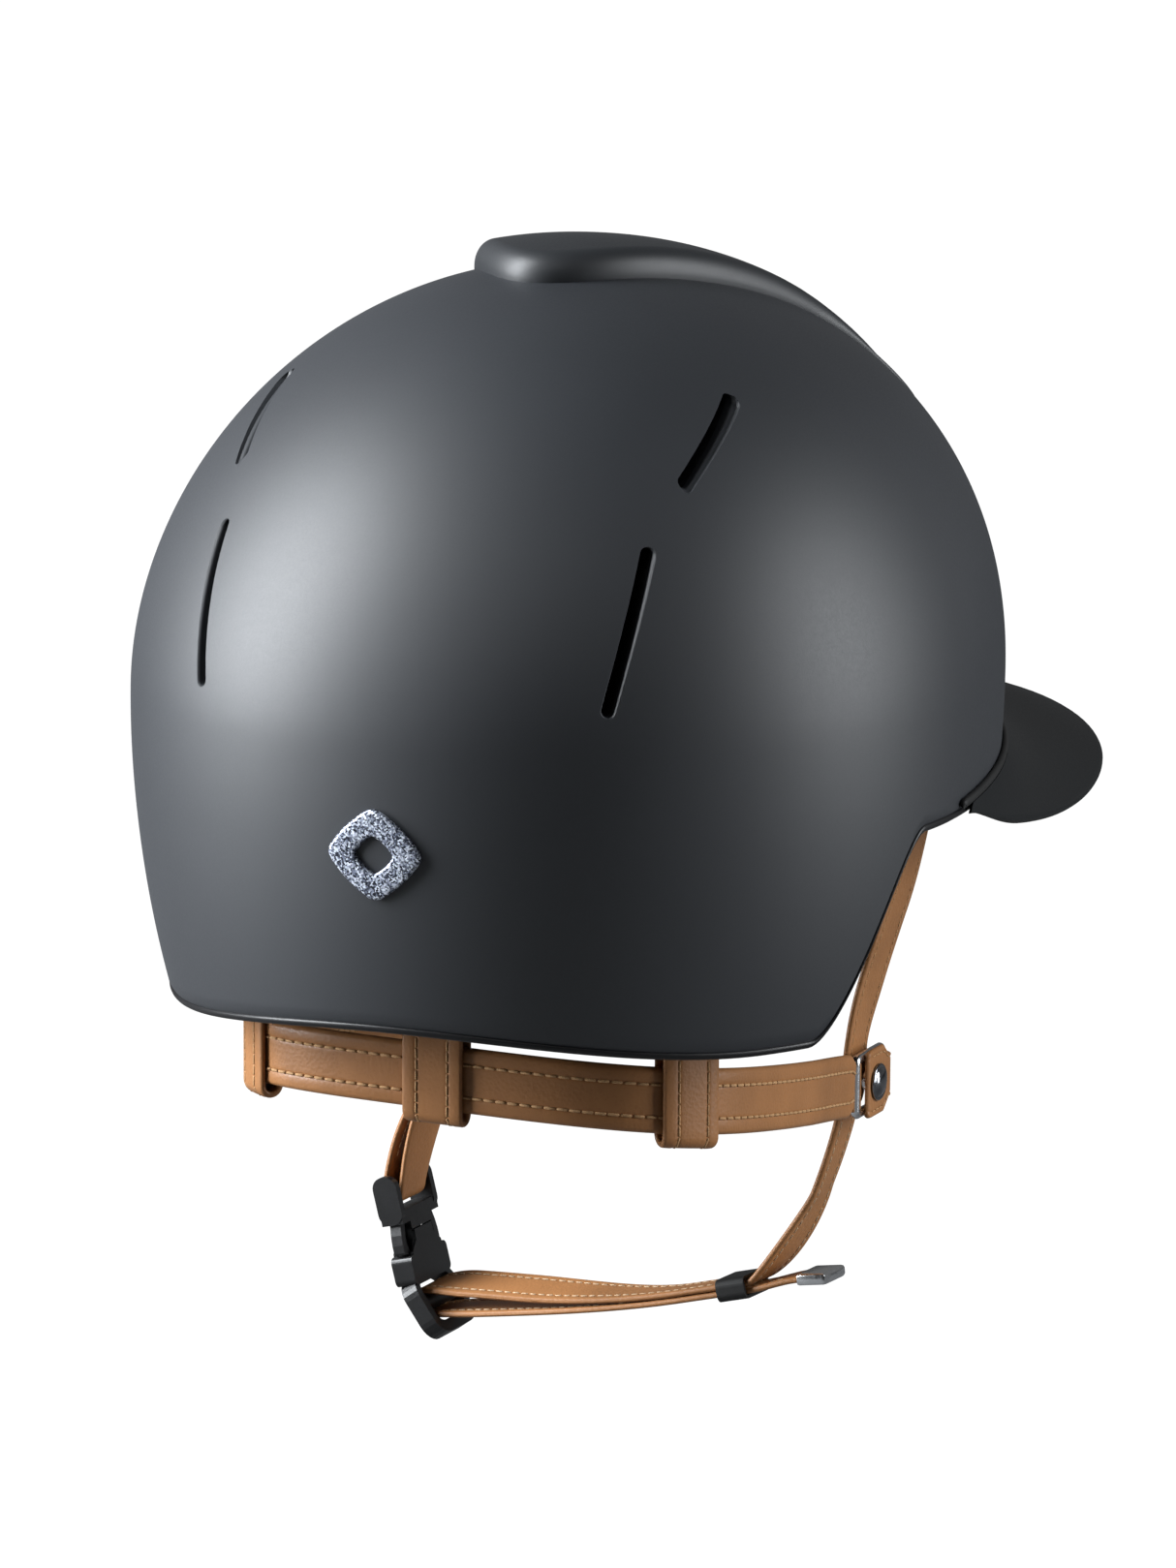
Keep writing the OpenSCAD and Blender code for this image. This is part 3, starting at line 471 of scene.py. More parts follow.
def make_foam(name, colour):
    m = material(name, colour, 0.75, spec=0.3)
    beads = texture(m, "voronoi", 0.32, Randomness=0.9).outputs["Distance"]
    low, high = tones(colour, 1.5, 0.7)
    plug(m, ramp(m, beads, [(0.2, low), (0.75, high)]), "Base Color")
    plug(m, spread(m, beads, 0.6, 0.85), "Roughness")
    plug(m, bump(m, beads, 0.5, -0.7), "Normal")
    return m


def make_knit(name, colour, scale=0.9):
    m = material(name, colour, 0.85, spec=0.2)
    m.node_tree.nodes["Principled BSDF"].inputs["Sheen Weight"].default_value = 0.35
    cells = texture(m, "voronoi", scale, Randomness=0.12).outputs["Distance"]
    low, high = tones(colour, 0.45, 1.3)
    plug(m, ramp(m, cells, [(0.15, low), (0.5, high)]), "Base Color")
    fuzz = texture(m, "noise", 2.5, 3.0).outputs["Fac"]
    under = bump(m, fuzz, 0.08, 0.5)
    plug(m, bump(m, cells, 0.3, 0.8, under), "Normal")
    plug(m, spread(m, fuzz, 0.75, 0.95), "Roughness")
    return m


PAINT = make_paint("shell_paint", (0.021, 0.0235, 0.028), 0.52, 0.62, 0.02)
# The visor is the shell's charcoal paint at less than half the brightness and with a weaker shine;
# the darker colour is painted shade over the whole plate.
SHADED_VISOR_PAINT = make_paint("visor_paint_painted_shade", (0.009, 0.01, 0.011), 0.48, 0.22, 0.03)
CREST_PAINT = make_paint("crest_paint", (0.02, 0.022, 0.025), 0.48, 0.5, 0.015)
LEATHER = make_leather("tan_leather", (0.335, 0.15, 0.055))
THREAD = make_thread("brown_thread", (0.52, 0.30, 0.14))
PALE_THREAD = make_thread("pale_thread", (0.62, 0.46, 0.3))
BLACK_THREAD = make_thread("black_thread", (0.01, 0.01, 0.012))
BLACK = make_moulded("black_moulding", (0.009, 0.009, 0.0095), 0.36, 0.45)
RUBBER = make_moulded("black_rubber", (0.008, 0.008, 0.008), 0.6, 0.35)
TRIM = make_moulded("gloss_trim", (0.005, 0.005, 0.006), 0.4, 0.4, texture_depth=0.004)
CHROME = make_metal("chrome", (0.86, 0.87, 0.89), 0.2)
DARK_CHROME = make_metal("dark_chrome", (0.3, 0.31, 0.33), 0.14)
GLITTER = make_glitter("glitter")
FOAM = make_foam("bead_foam", (0.018, 0.018, 0.02))
KNIT = make_knit("pad_knit", (0.03, 0.031, 0.035))
HOOK = make_knit("hook_pile", (0.012, 0.012, 0.013), 1.6)

# ---- Shell with its vents ----
# Ends of each slit as (azimuth, height), on the left side; the right side mirrors them
VENTS = [((121.5, 84.2), (137.5, 64.1)), ((143.8, 50.5), (150.1, 9.7))]
VENT_W = 3.6


def vent_cutters(name, levels, steps=24):
    """Slit cutters with round ends; levels gives pairs of (offset from the surface, half width)."""
    solid = Solid()
    for side in (-1, 1):
        for slit in VENTS:
            p, q = (shell_pt(a, z, 0) for a, z in slit)
            reach = np.linalg.norm(q - p)
            start, stop = VENT_W / 2, reach - VENT_W / 2
            outline = []
            for off, half in levels:
                ang = np.radians(np.linspace(-90, 90, 9))
                far = np.stack([stop + half * np.cos(ang), half * np.sin(ang)], -1)
                run = np.linspace(stop, start, steps)[1:-1]
                run = np.stack([run, np.full(len(run), half)], -1)
                near = np.stack([start - half * np.cos(ang[::-1]), half * np.sin(ang[::-1])], -1)
                loop = np.concatenate([far, run, near, run[::-1] * [1, -1]])
                c = p + (q - p) * (loop[:, :1] / reach)
                back = (c[:, 0] - CROWN_SHIFT * c[:, 2] / CROWN_H) / REAR_R
                a = np.degrees(np.arctan2(c[:, 1] / HALF_W, back))
                base, out = shell_pt(a, c[:, 2], off), shell_pt(a, c[:, 2], off + 5)
                across = unit(np.cross(np.broadcast_to(q - p, base.shape), out - base))
                outline.append((base + across * loop[:, 1:]) * [1, side, 1])
            solid.skin(outline, poles=True)
    return solid.piece(name, [PAINT], "shell", "helmet")


NEAR_CROWN = 0.012  # share of the way down at which the bowls' first ring lies


def bowl_mesh(az, off_out, off_in, lift, rows_out, rows_in, edge_steps):
    """Rings of a closed bowl between two offsets of the surface, with a rounded lower edge."""
    edge = rim_z(az) + lift
    mid, half = (off_out + off_in) / 2, (off_out - off_in) / 2
    round_h = min(half, 3.0)

    def wall(d, off):
        top = CROWN_H + off
        z = top - (top - rim_z(az) - lift) * (1 - math.cos(math.pi / 2 * d))
        return shell_pt(az, z, off)

    return ([wall(d, off_out) for d in np.linspace(NEAR_CROWN, 1, rows_out)]
            + [shell_pt(az, edge - round_h * math.sin(q), mid + half * math.cos(q))
               for q in np.linspace(0, math.pi, edge_steps + 2)[1:-1]]
            + [wall(d, off_in) for d in np.linspace(1, NEAR_CROWN, rows_in)])


# The shell's edge ends 1.2 mm above the rim, inside the trim, and the foam's 15 mm above it
shell = Solid().skin(bowl_mesh(azimuths(1.5, 0.6), 0, -SHELL_T, 1.2, 110, 40, 3), poles=True)
shell = shell.piece("shell_skin", [PAINT], "shell", "helmet")
VENT_BEVEL = [(-8, 1.62), (-0.7, 1.62), (-0.25, 1.75), (0.0, 2.0), (0.5, 2.6), (3, 2.6)]
cut(shell, vent_cutters("cutter", VENT_BEVEL))
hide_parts("outer_shell")

liner = Solid().skin(bowl_mesh(azimuths(3, 1.5), -3.6, -29.0, 15, 50, 40, 7), poles=True)
liner = liner.piece("foam_liner", [FOAM], "foam", "helmet")
cut(liner, vent_cutters("cutter", [(-22, 2.1), (-1, 2.1)]))
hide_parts("shock_liner")

# ---- Crest cover and front grille ----
CREST_RISE, CREST_TAIL, CREST_FRONT, CREST_LEAN, COVER_END = 6.5, -13.0, 90.0, 34.0, 62.0


def crest_half(tip):
    """Half width in degrees: a blunt tail that widens like a parabola, drawn in again in front."""
    t = (tip - CREST_TAIL) / (CREST_FRONT - CREST_TAIL)
    front = CREST_LEAN * np.sin(np.pi * t) + 9 * smooth((t - 0.7) / 0.25)
    return mix(3.9 * np.sqrt(np.maximum(tip - CREST_TAIL, 0)), front, smooth((tip - 28) / 32))


def shoulder(t):
    """Quarter of a circle: 1 at t = 0, falling to 0 at t = 1."""
    return np.sqrt(1 - np.clip(t, 0, 1) ** 2)


def crest_height(tip, v):
    """Height above the shell: a rounded wall along the outline that dies away in front."""
    square = crest_half(tip) ** 2
    slope = (crest_half(tip + 0.05) ** 2 - crest_half(tip - 0.05) ** 2) / 0.1
    lean = v * crest_half(tip)
    inside = 1.95 * (square - lean ** 2) / np.sqrt(slope ** 2 + 4 * lean ** 2 + 1e-6)
    fade = 1 - np.clip(tip / 40, 0, 1) ** 1.8
    return 0.3 + (0.4 + CREST_RISE * fade) * shoulder(1 - inside / mix(1.2, 6.0, fade))


# Places across the crest from -1 to 1, closer together near its edges
v_side = 0.7 + 0.3 * np.sin(np.radians(np.linspace(0, 90, 20)))
v_all = np.concatenate([-v_side[::-1], np.linspace(-0.67, 0.67, 31), v_side])
tips = CREST_TAIL + np.linspace(0.12, math.sqrt(COVER_END - CREST_TAIL), 130) ** 2
T, V = np.meshgrid(tips, v_all, indexing="ij")
top = crest_pt(T, V * crest_half(T), crest_height(T, V))
low = crest_pt(T, V * crest_half(T), np.full(T.shape, -0.4))
crest = Solid().skin(np.concatenate([top, low[:, ::-1]], 1))
crest = crest.piece("crest_skin", [CREST_PAINT], "crest", "helmet", 60)
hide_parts("crest_cover")

tips = np.linspace(COVER_END + 0.7, CREST_FRONT - 4, 60)
T, V = np.meshgrid(tips, v_all * 0.97, indexing="ij")
edge = np.minimum(shoulder((COVER_END + 2.2 - T) / 1.5), shoulder((T - CREST_FRONT + 5.5) / 1.5))
top = crest_pt(T, V * crest_half(T), 0.2 + 1.4 * shoulder((np.abs(V) - 0.8) / 0.17) * edge)
low = crest_pt(T, V * crest_half(T), np.full(T.shape, -0.2))
grille = Solid().skin(np.concatenate([top, low[:, ::-1]], 1))
grille = grille.piece("grille_skin", [BLACK], "black_plastic", "helmet", 40)
HOLE_ROW, HOLE_GAP = 2.35, 2.6  # degrees between the grille's rows of holes, and within a row
holes = Solid()
for i in range(9):
    tip = COVER_END + 3.2 + i * HOLE_ROW
    reach = crest_half(np.array(tip)) * 0.8
    for j in range(-6, 7):
        lean = (j + (0.5 if i % 2 else 0)) * HOLE_GAP
        if abs(lean) < reach:
            c = crest_pt(tip, lean, 0.0)
            n = unit(crest_pt(tip, lean, 5.0) - c)
            lathe(holes, c + n * 0.45, n, [(1.25, 0), (1.25, 0.7), (1.7, 2.6)], 6)
cut(grille, holes.piece("cutter", [BLACK], "black_plastic", "helmet"), 40)
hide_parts("front_grille")

# ---- Visor and its seal ----
VISOR_X0, VISOR_AZ, VISOR_POW, VISOR_T = 5.0, 88.0, 3.2, 3.4
VISOR_FRONT, VISOR_HALF = FRONT_R + 66 - VISOR_X0, HALF_W + 0.6
ROOT_Z, ROOT_RISE = -27, 13  # height of the root at its ends, and how much higher it is in front
EDGE_Z, DROOP = -28, 16.4


def visor_root(k, off):
    """Where the visor leaves the shell; k runs from -1 to 1 across it."""
    a = np.radians(VISOR_AZ * k)
    return shell_pt(VISOR_AZ * k, ROOT_Z + ROOT_RISE * np.maximum(np.cos(a), 0), off)


def visor_edge(k):
    """The visor's outer edge, drooping to the sides and rising again towards its ends."""
    b = np.radians(90 * k)
    cb, sb = np.maximum(np.cos(b), 0), np.sin(b)
    r = ((cb / VISOR_FRONT) ** VISOR_POW
         + (np.abs(sb) / VISOR_HALF) ** VISOR_POW) ** (-1 / VISOR_POW)
    x, y = VISOR_X0 + r * cb, r * sb
    rise = DROOP * (np.maximum(0, 140 - x) / 135) ** 2.2
    return np.stack([x, y, EDGE_Z - DROOP * (np.abs(y) / VISOR_HALF) ** 2.4 + rise], -1)


ks = np.linspace(-1, 1, 141) * 0.975
vs = np.concatenate([np.linspace(0, 0.9, 26), np.linspace(0.92, 1, 6)])
root, edge = visor_root(ks, 1.9), visor_edge(ks)
length = np.linalg.norm(edge - root, axis=-1)
span = 1 - np.minimum(VISOR_T / 2 / length, 0.3)
taper = mix(1, 0.3, smooth((np.abs(ks) - 0.74) / 0.22))
k_cos = np.cos(np.radians(90 * ks))
top, low, tip = [], [], []
for v in vs:
    q = (v * span)[:, None]
    p = root + (edge - root) * q
    p[:, 2] += 6 * q[:, 0] * (1 - q[:, 0]) * k_cos
    t = mix(1.1, VISOR_T, smooth(v / 0.3)) * taper
    inward = unit(np.stack([0 * ks, -0.6 * p[:, 1], np.full(len(ks), -45.0)], -1))
    top.append(p)
    low.append(p + inward * t[:, None])
outward = unit(top[-1] - top[-2])
for q in np.linspace(0, math.pi, 10)[1:-1]:
    half = (low[-1] - top[-1]) / 2
    reach = np.linalg.norm(half, axis=-1, keepdims=True)
    tip.append(top[-1] + half * (1 - math.cos(q)) + outward * reach * math.sin(q))
visor = Solid().skin(np.stack(top + tip + low[::-1], 1))
# The plate takes the darker copy of the shell paint, whose colour is painted shade.
visor = visor.piece("visor_plate", [SHADED_VISOR_PAINT], "shell", "helmet", 45)
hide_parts("visor")

ks = np.linspace(-1.03, 1.03, 181)
kc = np.clip(ks, -1, 1)
path = visor_root(kc, 1.0) + np.stack([0 * ks, 0 * ks, 0.9 - 60 * (np.abs(ks) - np.abs(kc))], -1)
_, w, b = frames(path, np.tile([0, 0, 1.0], (len(ks), 1)))
ang = circle(12)
thick = np.sqrt(np.clip(1 - ((np.abs(ks) - 1.0) / 0.03).clip(0, 1) ** 2, 0.05, 1))
oval = (w[:, None] * np.cos(ang)[None, :, None] * 1.3
        + b[:, None] * np.sin(ang)[None, :, None]) * thick[:, None, None]
seal = Solid().skin(path[:, None] + oval).piece("visor_bead", [RUBBER], "black_rubber", "helmet")
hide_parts("visor_seal")

# ---- Rim trim ----
az = azimuths(1.5, 0.6)
ring = []
for q in circle(20):
    c, s = math.cos(q), math.sin(q)
    off = -2.0 + 2.2 * math.copysign(abs(c) ** 0.6, c)
    ring.append(shell_pt(az, rim_z(az) - 0.8 + 1.15 * math.copysign(abs(s) ** 0.8, s), off))
trim = Solid().skin(np.stack(ring, 1), loop=True)
trim = trim.piece("rim_bead", [TRIM], "rim_trim", "helmet")
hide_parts("rim_trim")

# ---- Badge: a plain lozenge ring that follows the shell ----
# Height of its centre, and the shell's radius there
BADGE_AT, BADGE_R = -27.0, 116.0


def densify(points, per_side):
    """More points along each side of a closed outline."""
    points = np.asarray(points, float)
    out = []
    for i in range(len(points)):
        for s in np.linspace(0, 1, per_side, endpoint=False):
            out.append(mix(points[i], points[(i + 1) % len(points)], s))
    return np.array(out)


def badge_pt(uw, off):
    """uw is (up, sideways) in millimetres round the badge's centre."""
    return shell_pt(180 + np.degrees(uw[:, 1] / BADGE_R), BADGE_AT + uw[:, 0], off)


outer = densify([(13, 0), (6.5, 8.6), (0, 14), (-6.5, 8.6),
                 (-13, 0), (-6.5, -8.6), (0, -14), (6.5, -8.6)], 6)
outer = soften(np.concatenate([outer[-3:], outer, outer[:3]]), 4)[3:-3]
inner = outer * 0.42
# Pairs of (share of the way inwards, height above the shell)
profile = [(0.0, -0.2), (0.0, 1.15), (0.05, 1.42), (0.14, 1.55), (0.35, 1.62),
           (0.65, 1.62), (0.86, 1.55), (0.95, 1.42), (1.0, 1.15), (1.0, -0.2)]
rows = [badge_pt(mix(outer, inner, f), h) for f, h in profile]
badge = Solid().skin(np.stack(rows, 1), loop=True)
badge = badge.piece("badge_lozenge", [GLITTER], "badge", "helmet", 50)
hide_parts("badge")

# ---- Comfort pads ----
PAD_OUT = -31.4  # the pads' outer face, measured in from the shell


def pad_ring():
    """Headband pad: a closed ring with rounded edges, drawn in at a seam every 24 degrees."""
    az = np.linspace(0, 360, 360, endpoint=False)
    low, high = rim_z(az) + 22.0, np.full(360, 14.0)
    seam = np.minimum(np.abs(((az + 12) % 24) - 12) * 1.7, 12.0)
    rings = []
    for q in circle(44):
        c, s = math.cos(q), math.sin(q)
        along = 0.5 + 0.5 * math.copysign(abs(s) ** 0.55, s)
        edge = 1 - abs(2 * along - 1) ** 4
        depth = mix(2.2, 5.0, edge) * mix(0.45, 1, smooth(seam / 5))
        inn = PAD_OUT - np.clip(depth, 1.4, 5.0)
        off = mix(inn, PAD_OUT, 0.5 + 0.5 * math.copysign(abs(c) ** 0.5, c))
        rings.append(shell_pt(az, mix(low, high, along), off))
    return np.stack(rings, 1)


pad = Solid().skin(pad_ring(), loop=True)
pad = pad.piece("headband_quilt", [KNIT], "pad_fabric", "helmet")
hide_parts("headband_pad")



def crown_pad_pt(q, depth):
    """A ring of the crown pad, q of the way down, depth in from its outer face."""
    top = CROWN_H + PAD_OUT
    return shell_pt(az, top - top * (1 - math.cos(math.pi / 2 * q)), PAD_OUT - depth)


az = np.linspace(0, 360, 180, endpoint=False)
quilt = 0.5 + 0.5 * np.cos(np.radians(az * 6))
rings = []
for q in np.linspace(0.04, 0.5, 26):
    edge = shoulder((q - 0.44) / 0.06)
    rings.append(crown_pad_pt(q, 1.2 + 3.8 * edge * mix(0.55, 1, 1 - quilt ** 8)))
rings += [crown_pad_pt(q, 0) for q in np.linspace(0.5, 0.04, 16)]
crown = Solid().skin(rings, poles=True).piece("crown_quilt", [KNIT], "pad_fabric", "helmet")
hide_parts("crown_pad")

# ---- Nape band and hangers ----
BAND_H, BAND_T, BAND_REAR, BAND_HALF, BAND_POW = 17.5, 2.8, 78.0, 70.0, 3.5
HOOK_R = 1.45  # inside of the band's hooks, round the rings' wire


def band_z(x):
    return -107.2 - 0.163 * x


def band_pt(a):
    """Points of the nape band's middle at a degrees from its rear."""
    a = np.radians(a)
    r = ((np.abs(np.cos(a)) / BAND_REAR) ** BAND_POW
         + (np.abs(np.sin(a)) / BAND_HALF) ** BAND_POW) ** (-1 / BAND_POW)
    x, y = -r * np.cos(a), r * np.sin(a)
    return np.stack([x, y, band_z(x) + smooth((12 - x) / 60) * (2 + 0.025 * y)], -1)


x_side = np.linspace(12, 47.2, 20)
side = np.stack([x_side, mix(BAND_HALF, PIVOT[1], smooth(x_side / 44)), band_z(x_side)], -1)
path = np.concatenate([side[::-1] * [1, -1, 1], band_pt(np.linspace(-88, 88, 180)), side])
wide = np.tile([0, 0, 1.0], (len(path), 1))
band = Solid()
strap(band, path, wide, BAND_H, BAND_T, rows=(-4.3, 4.3), stitch=(2.3, 1.0, 0.42), groove=0.22,
      puff=0.26, smooth_times=6, widths=([0, 0.01, 0.99, 1], [0.72, 1, 1, 0.72]))
for s in (-1, 1):
    # Hook round the inside of the ring's rear bar; the bar's outer face stays in sight
    hook = np.radians(90 * s + np.linspace(75, 285, 25))
    bar_at = PIVOT * [1, s, 1] - [BAR_X, 0, 0]
    rings = []
    for z, r in ((-6.4, 2.5), (-6.1, 2.75), (6.1, 2.75), (6.4, 2.5)):
        rings.append(bar_at + np.concatenate([
            np.stack([q * np.cos(a), q * np.sin(a), np.full(len(a), z)], -1)
            for q, a in ((r, hook), (HOOK_R, hook[::-1]))]))
    band.skin(rings)
band = band.piece("nape_leather", [LEATHER, THREAD], "leather", "helmet")
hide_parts("nape_band")

HANGER_W, HANGER_T, HANGER_GAP, HANGER_ROW = 17.0, 1.6, 0.45, 4.4


def hanger(name, a, node):
    """Leather loop round the nape band: a curved U with two sewn rows down each face."""
    solid = Solid()
    per_mm = 2 / np.linalg.norm(band_pt(a + 1) - band_pt(a - 1))
    half_in = BAND_T / 2 + HANGER_GAP + HANGER_T / 2
    x, h = strap_profile(HANGER_W, HANGER_T, (-HANGER_ROW, HANGER_ROW), 0.22, 0.16)
    b = a + x * per_mm
    at = band_pt(b)
    ahead = band_pt(b + 0.5) - band_pt(b - 0.5)
    out = unit(np.stack([-ahead[:, 1], ahead[:, 0], 0 * b], -1))
    out = out * np.where(np.sum(out[:, :2] * at[:, :2], -1) < 0, -1, 1)[:, None]
    # The U in its own plane: u out from the band and z up from its middle
    high = float(rim_z(180 - abs(a))) + 12 - 3.5 - band_pt(np.array([a]))[0, 2]
    low = -BAND_H / 2 - 0.3
    bend = np.radians(np.linspace(0, 180, 15))
    u = np.concatenate([np.full(14, half_in), half_in * np.cos(bend), np.full(14, -half_in)])
    z = np.concatenate([mix(high, low, np.linspace(0, 1, 14, endpoint=False)),
                        low - half_in * np.sin(bend), np.linspace(low, high, 15)[1:]])
    nrm = unit(np.stack([-np.gradient(z), np.gradient(u)], -1))
    nrm = nrm * (np.sign(nrm[0, 0]) if nrm[0, 0] else 1)
    rings = []
    for i in range(len(u)):
        def face(sign):
            k = h * sign
            p = at + out * (u[i] + nrm[i, 0] * k)[:, None]
            return p + np.stack([0 * k, 0 * k, z[i] + nrm[i, 1] * k], -1)
        rings.append(np.concatenate([face(1), face(-1)[::-1]]))
    solid.skin(rings)
    s = np.concatenate([[0], np.cumsum(np.hypot(np.diff(u), np.diff(z)))])
    for row in (-HANGER_ROW, HANGER_ROW):
        p0 = band_pt(np.array([a + row * per_mm]))[0]
        o = unit([np.interp(row, x, out[:, 0]), np.interp(row, x, out[:, 1]), 0])
        hh = float(np.interp(row, x, h)) + 0.1
        s0 = np.arange(3, s[-1] - 3, 2.9)

        def place(q):
            uu, zz = np.interp(q, s, u), np.interp(q, s, z)
            n0, n1 = np.interp(q, s, nrm[:, 0]), np.interp(q, s, nrm[:, 1])
            p = p0 + o * (uu + n0 * hh)[:, None]
            p[:, 2] += zz + n1 * hh
            return p
        capsules(solid, place(s0), place(s0 + 2.1), 0.38, 1)
    obj = solid.piece(name, [LEATHER, THREAD], "leather", "helmet")
    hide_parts(node)


hanger("hanger_leather_centre", 0.0, "hanger_centre")
hanger("hanger_leather_left", 42.5, "hanger_left")
hanger("hanger_leather_right", -47.0, "hanger_right")

# ---- Temple straps ----
TEMPLE_Y = PIVOT[1] - 3.9


def mirrored(path, side):
    """The path on the wearer's left for side 1, and its mirror image for side -1."""
    return np.asarray(path) * [1, side, 1]


def flat_end(y, z0, z1, n=14):
    """Straight run in front of the rivet, from height z0 to z1."""
    return np.stack([np.full(n, PIVOT[0]), np.full(n, y), np.linspace(z0, z1, n)], -1)


for side, tag in ((1, "left"), (-1, "right")):
    fall = bez([[PIVOT[0], TEMPLE_Y, PIVOT[2] + 8], [PIVOT[0], TEMPLE_Y + 2, -88],
                [72, 75.5, -60], [88, 80, -18.7]], 70)
    path = np.concatenate([flat_end(TEMPLE_Y, PIVOT[2] - STRAP_W / 2, PIVOT[2] + 8), fall[1:]])
    t = np.concatenate([np.zeros(14), np.linspace(0, 1, 70)[1:]])
    turn = 0.12 * smooth(t / 0.3) - 0.4 * smooth((t - 0.55) / 0.45)
    wide = np.stack([np.ones(len(t)), turn, 0.45 * t], -1)
    solid = Solid()
    strap(solid, mirrored(path, side), mirrored(wide, side), STRAP_W, STRAP_T, rows=(-5.0, 5.0),
          stitch=(1.6, 1.0, 0.17), groove=0.22, widths=ROUND_END, skip=(9, 2))
    obj = solid.piece("temple_leather_" + tag, [LEATHER, THREAD], "leather", "helmet")
    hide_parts("temple_strap_" + tag)

# ---- Keeper flaps and snap caps ----
FLAP_W, FLAP_T, FLAP_GAP = 19.0, 1.4, 0.08
FLAP_WIDTHS = ([0, 0.03, 0.07, 0.12, 0.46, 0.62, 1], [0.9, 0.97, 0.99, 1, 1, 0.65, 0.65])
CAP_PROFILE = [(4.6, 0), (5.0, 0.1), (5.2, 0.45), (5.1, 0.8), (4.8, 1.0), (4.5, 1.02), (4.3, 0.85),
               (4.1, 0.85), (3.9, 1.1), (3.2, 1.55), (2.2, 1.85), (1.1, 2.0), (0.3, 2.02)]
for side, tag in ((1, "left"), (-1, "right")):
    y0 = WIRE_R + FLAP_GAP + FLAP_T / 2
    turn = np.radians(np.linspace(90, -90, 22))
    path = np.concatenate([
        np.stack([np.linspace(BAR_X - 16.3, BAR_X, 24), np.full(24, y0), np.zeros(24)], -1),
        np.stack([BAR_X + y0 * np.cos(turn), y0 * np.sin(turn), 0 * turn], -1)[1:],
        np.stack([np.linspace(BAR_X, BAR_X - 2.2, 6), np.full(6, -y0), np.zeros(6)], -1)[1:]])
    wide = np.tile([0, 0, 1.0], (len(path), 1))
    solid = Solid()
    strap(solid, mirrored(path + PIVOT, side), wide, FLAP_W, FLAP_T, rows=(-7.7, 7.7), step=0.5,
          widths=FLAP_WIDTHS, stitch=(1.7, 0.9, 0.2), groove=0.18, skip=(1.5, 7))
    obj = solid.piece("flap_leather_" + tag, [LEATHER, THREAD], "leather", "flap_" + tag)
    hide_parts("keeper_flap_" + tag)
    cap = Solid()
    c = mirrored(PIVOT + [0, WIRE_R + FLAP_GAP + FLAP_T + 0.05, 0], side)
    lathe(cap, c, (0, side, 0), CAP_PROFILE)
    cap = cap.piece("cap_dome_" + tag, [DARK_CHROME], "chrome", "flap_" + tag)
    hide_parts("snap_cap_" + tag)

# ---- Chin straps, buckle side ----
def degs(a, b, n):
    return np.radians(np.linspace(a, b, n))


def yz(y, z):
    return [PIVOT[0], y, z]


TILT, TWIST = math.radians(14), -2.5  # the buckle's lean inwards, and its turn in degrees
BUCKLE_AT = np.array([PIVOT[0], 68.9, -178.0])
UP = np.array([0, math.sin(TILT), math.cos(TILT)])
ct, st = math.cos(math.radians(TWIST)), math.sin(math.radians(TWIST))
ACROSS = np.array([ct, st * math.cos(TILT), -st * math.sin(TILT)])
SIDE = np.array([-st, ct * math.cos(TILT), -ct * math.sin(TILT)])
WRAP_R = 1.7 + 0.25 + STRAP_T / 2
CHIN_W = STRAP_W - 0.4
CHIN_Y, CHIN_Z = 61.5, -123.0  # the chin straps at the ring, and where their bends begin


def turn_dir(a):
    a = np.radians(np.asarray(a, float))
    return np.stack([np.cos(a), np.sin(a), 0 * a], -1)


def roll_dir(a):
    a = np.radians(np.asarray(a, float))
    return np.stack([np.cos(a), 0 * a, np.sin(a)], -1)


def around(centre, r, x_dir, y_dir, ang):
    return centre + r * (np.cos(ang)[:, None] * x_dir + np.sin(ang)[:, None] * y_dir)


bar = BUCKLE_AT + 18 * UP
t50, t40 = np.linspace(0, 1, 50), np.linspace(0, 1, 40)
down = bez([yz(CHIN_Y, CHIN_Z), yz(CHIN_Y, -128), yz(68.2, -142), bar - WRAP_R * SIDE], 50)
turn = around(bar, WRAP_R, SIDE, -UP, degs(180, 0, 26)[1:-1])
up = bez([bar + WRAP_R * SIDE, yz(75, -151), yz(70.6, -138.6), yz(64.1, -130.6)], 40)
path = np.concatenate([flat_end(CHIN_Y, PIVOT[2] + STRAP_W / 2, CHIN_Z), down[1:], turn, up])
wide = np.concatenate([
    turn_dir(np.zeros(14)), turn_dir(TWIST * smooth(t50) - 11 * np.sin(np.pi * t50))[1:],
    np.tile(ACROSS, (len(turn), 1)), turn_dir(TWIST - 9 * smooth(t40))])
solid = Solid()
laid, lw, lb, ls = strap(solid, path, wide, CHIN_W, STRAP_T, step=0.7, smooth_times=3,
                         widths=ROUND_END)
PALE_MARK, BLACK_MARK = 3, 2  # places of the threads in the strap's list of materials


def sewn_row(s_from, s_to, across, face, length=1.6, gap=0.9, r=0.2):
    """Stitches along the laid strap, at a place across it, on one face."""
    s0 = np.arange(s_from, s_to - length, length + gap)

    def place(s):
        p, w, b = (along(s, ls, q) for q in (laid, lw, lb))
        return p + w * across + b * face * (STRAP_T / 2 + r * 0.3)
    capsules(solid, place(s0), place(s0 + length), r, PALE_MARK)


for across in (-4.3, 4.3):
    for face in (-1, 1):
        sewn_row(ls[-1] - 22, ls[-1] - 2, across, face)
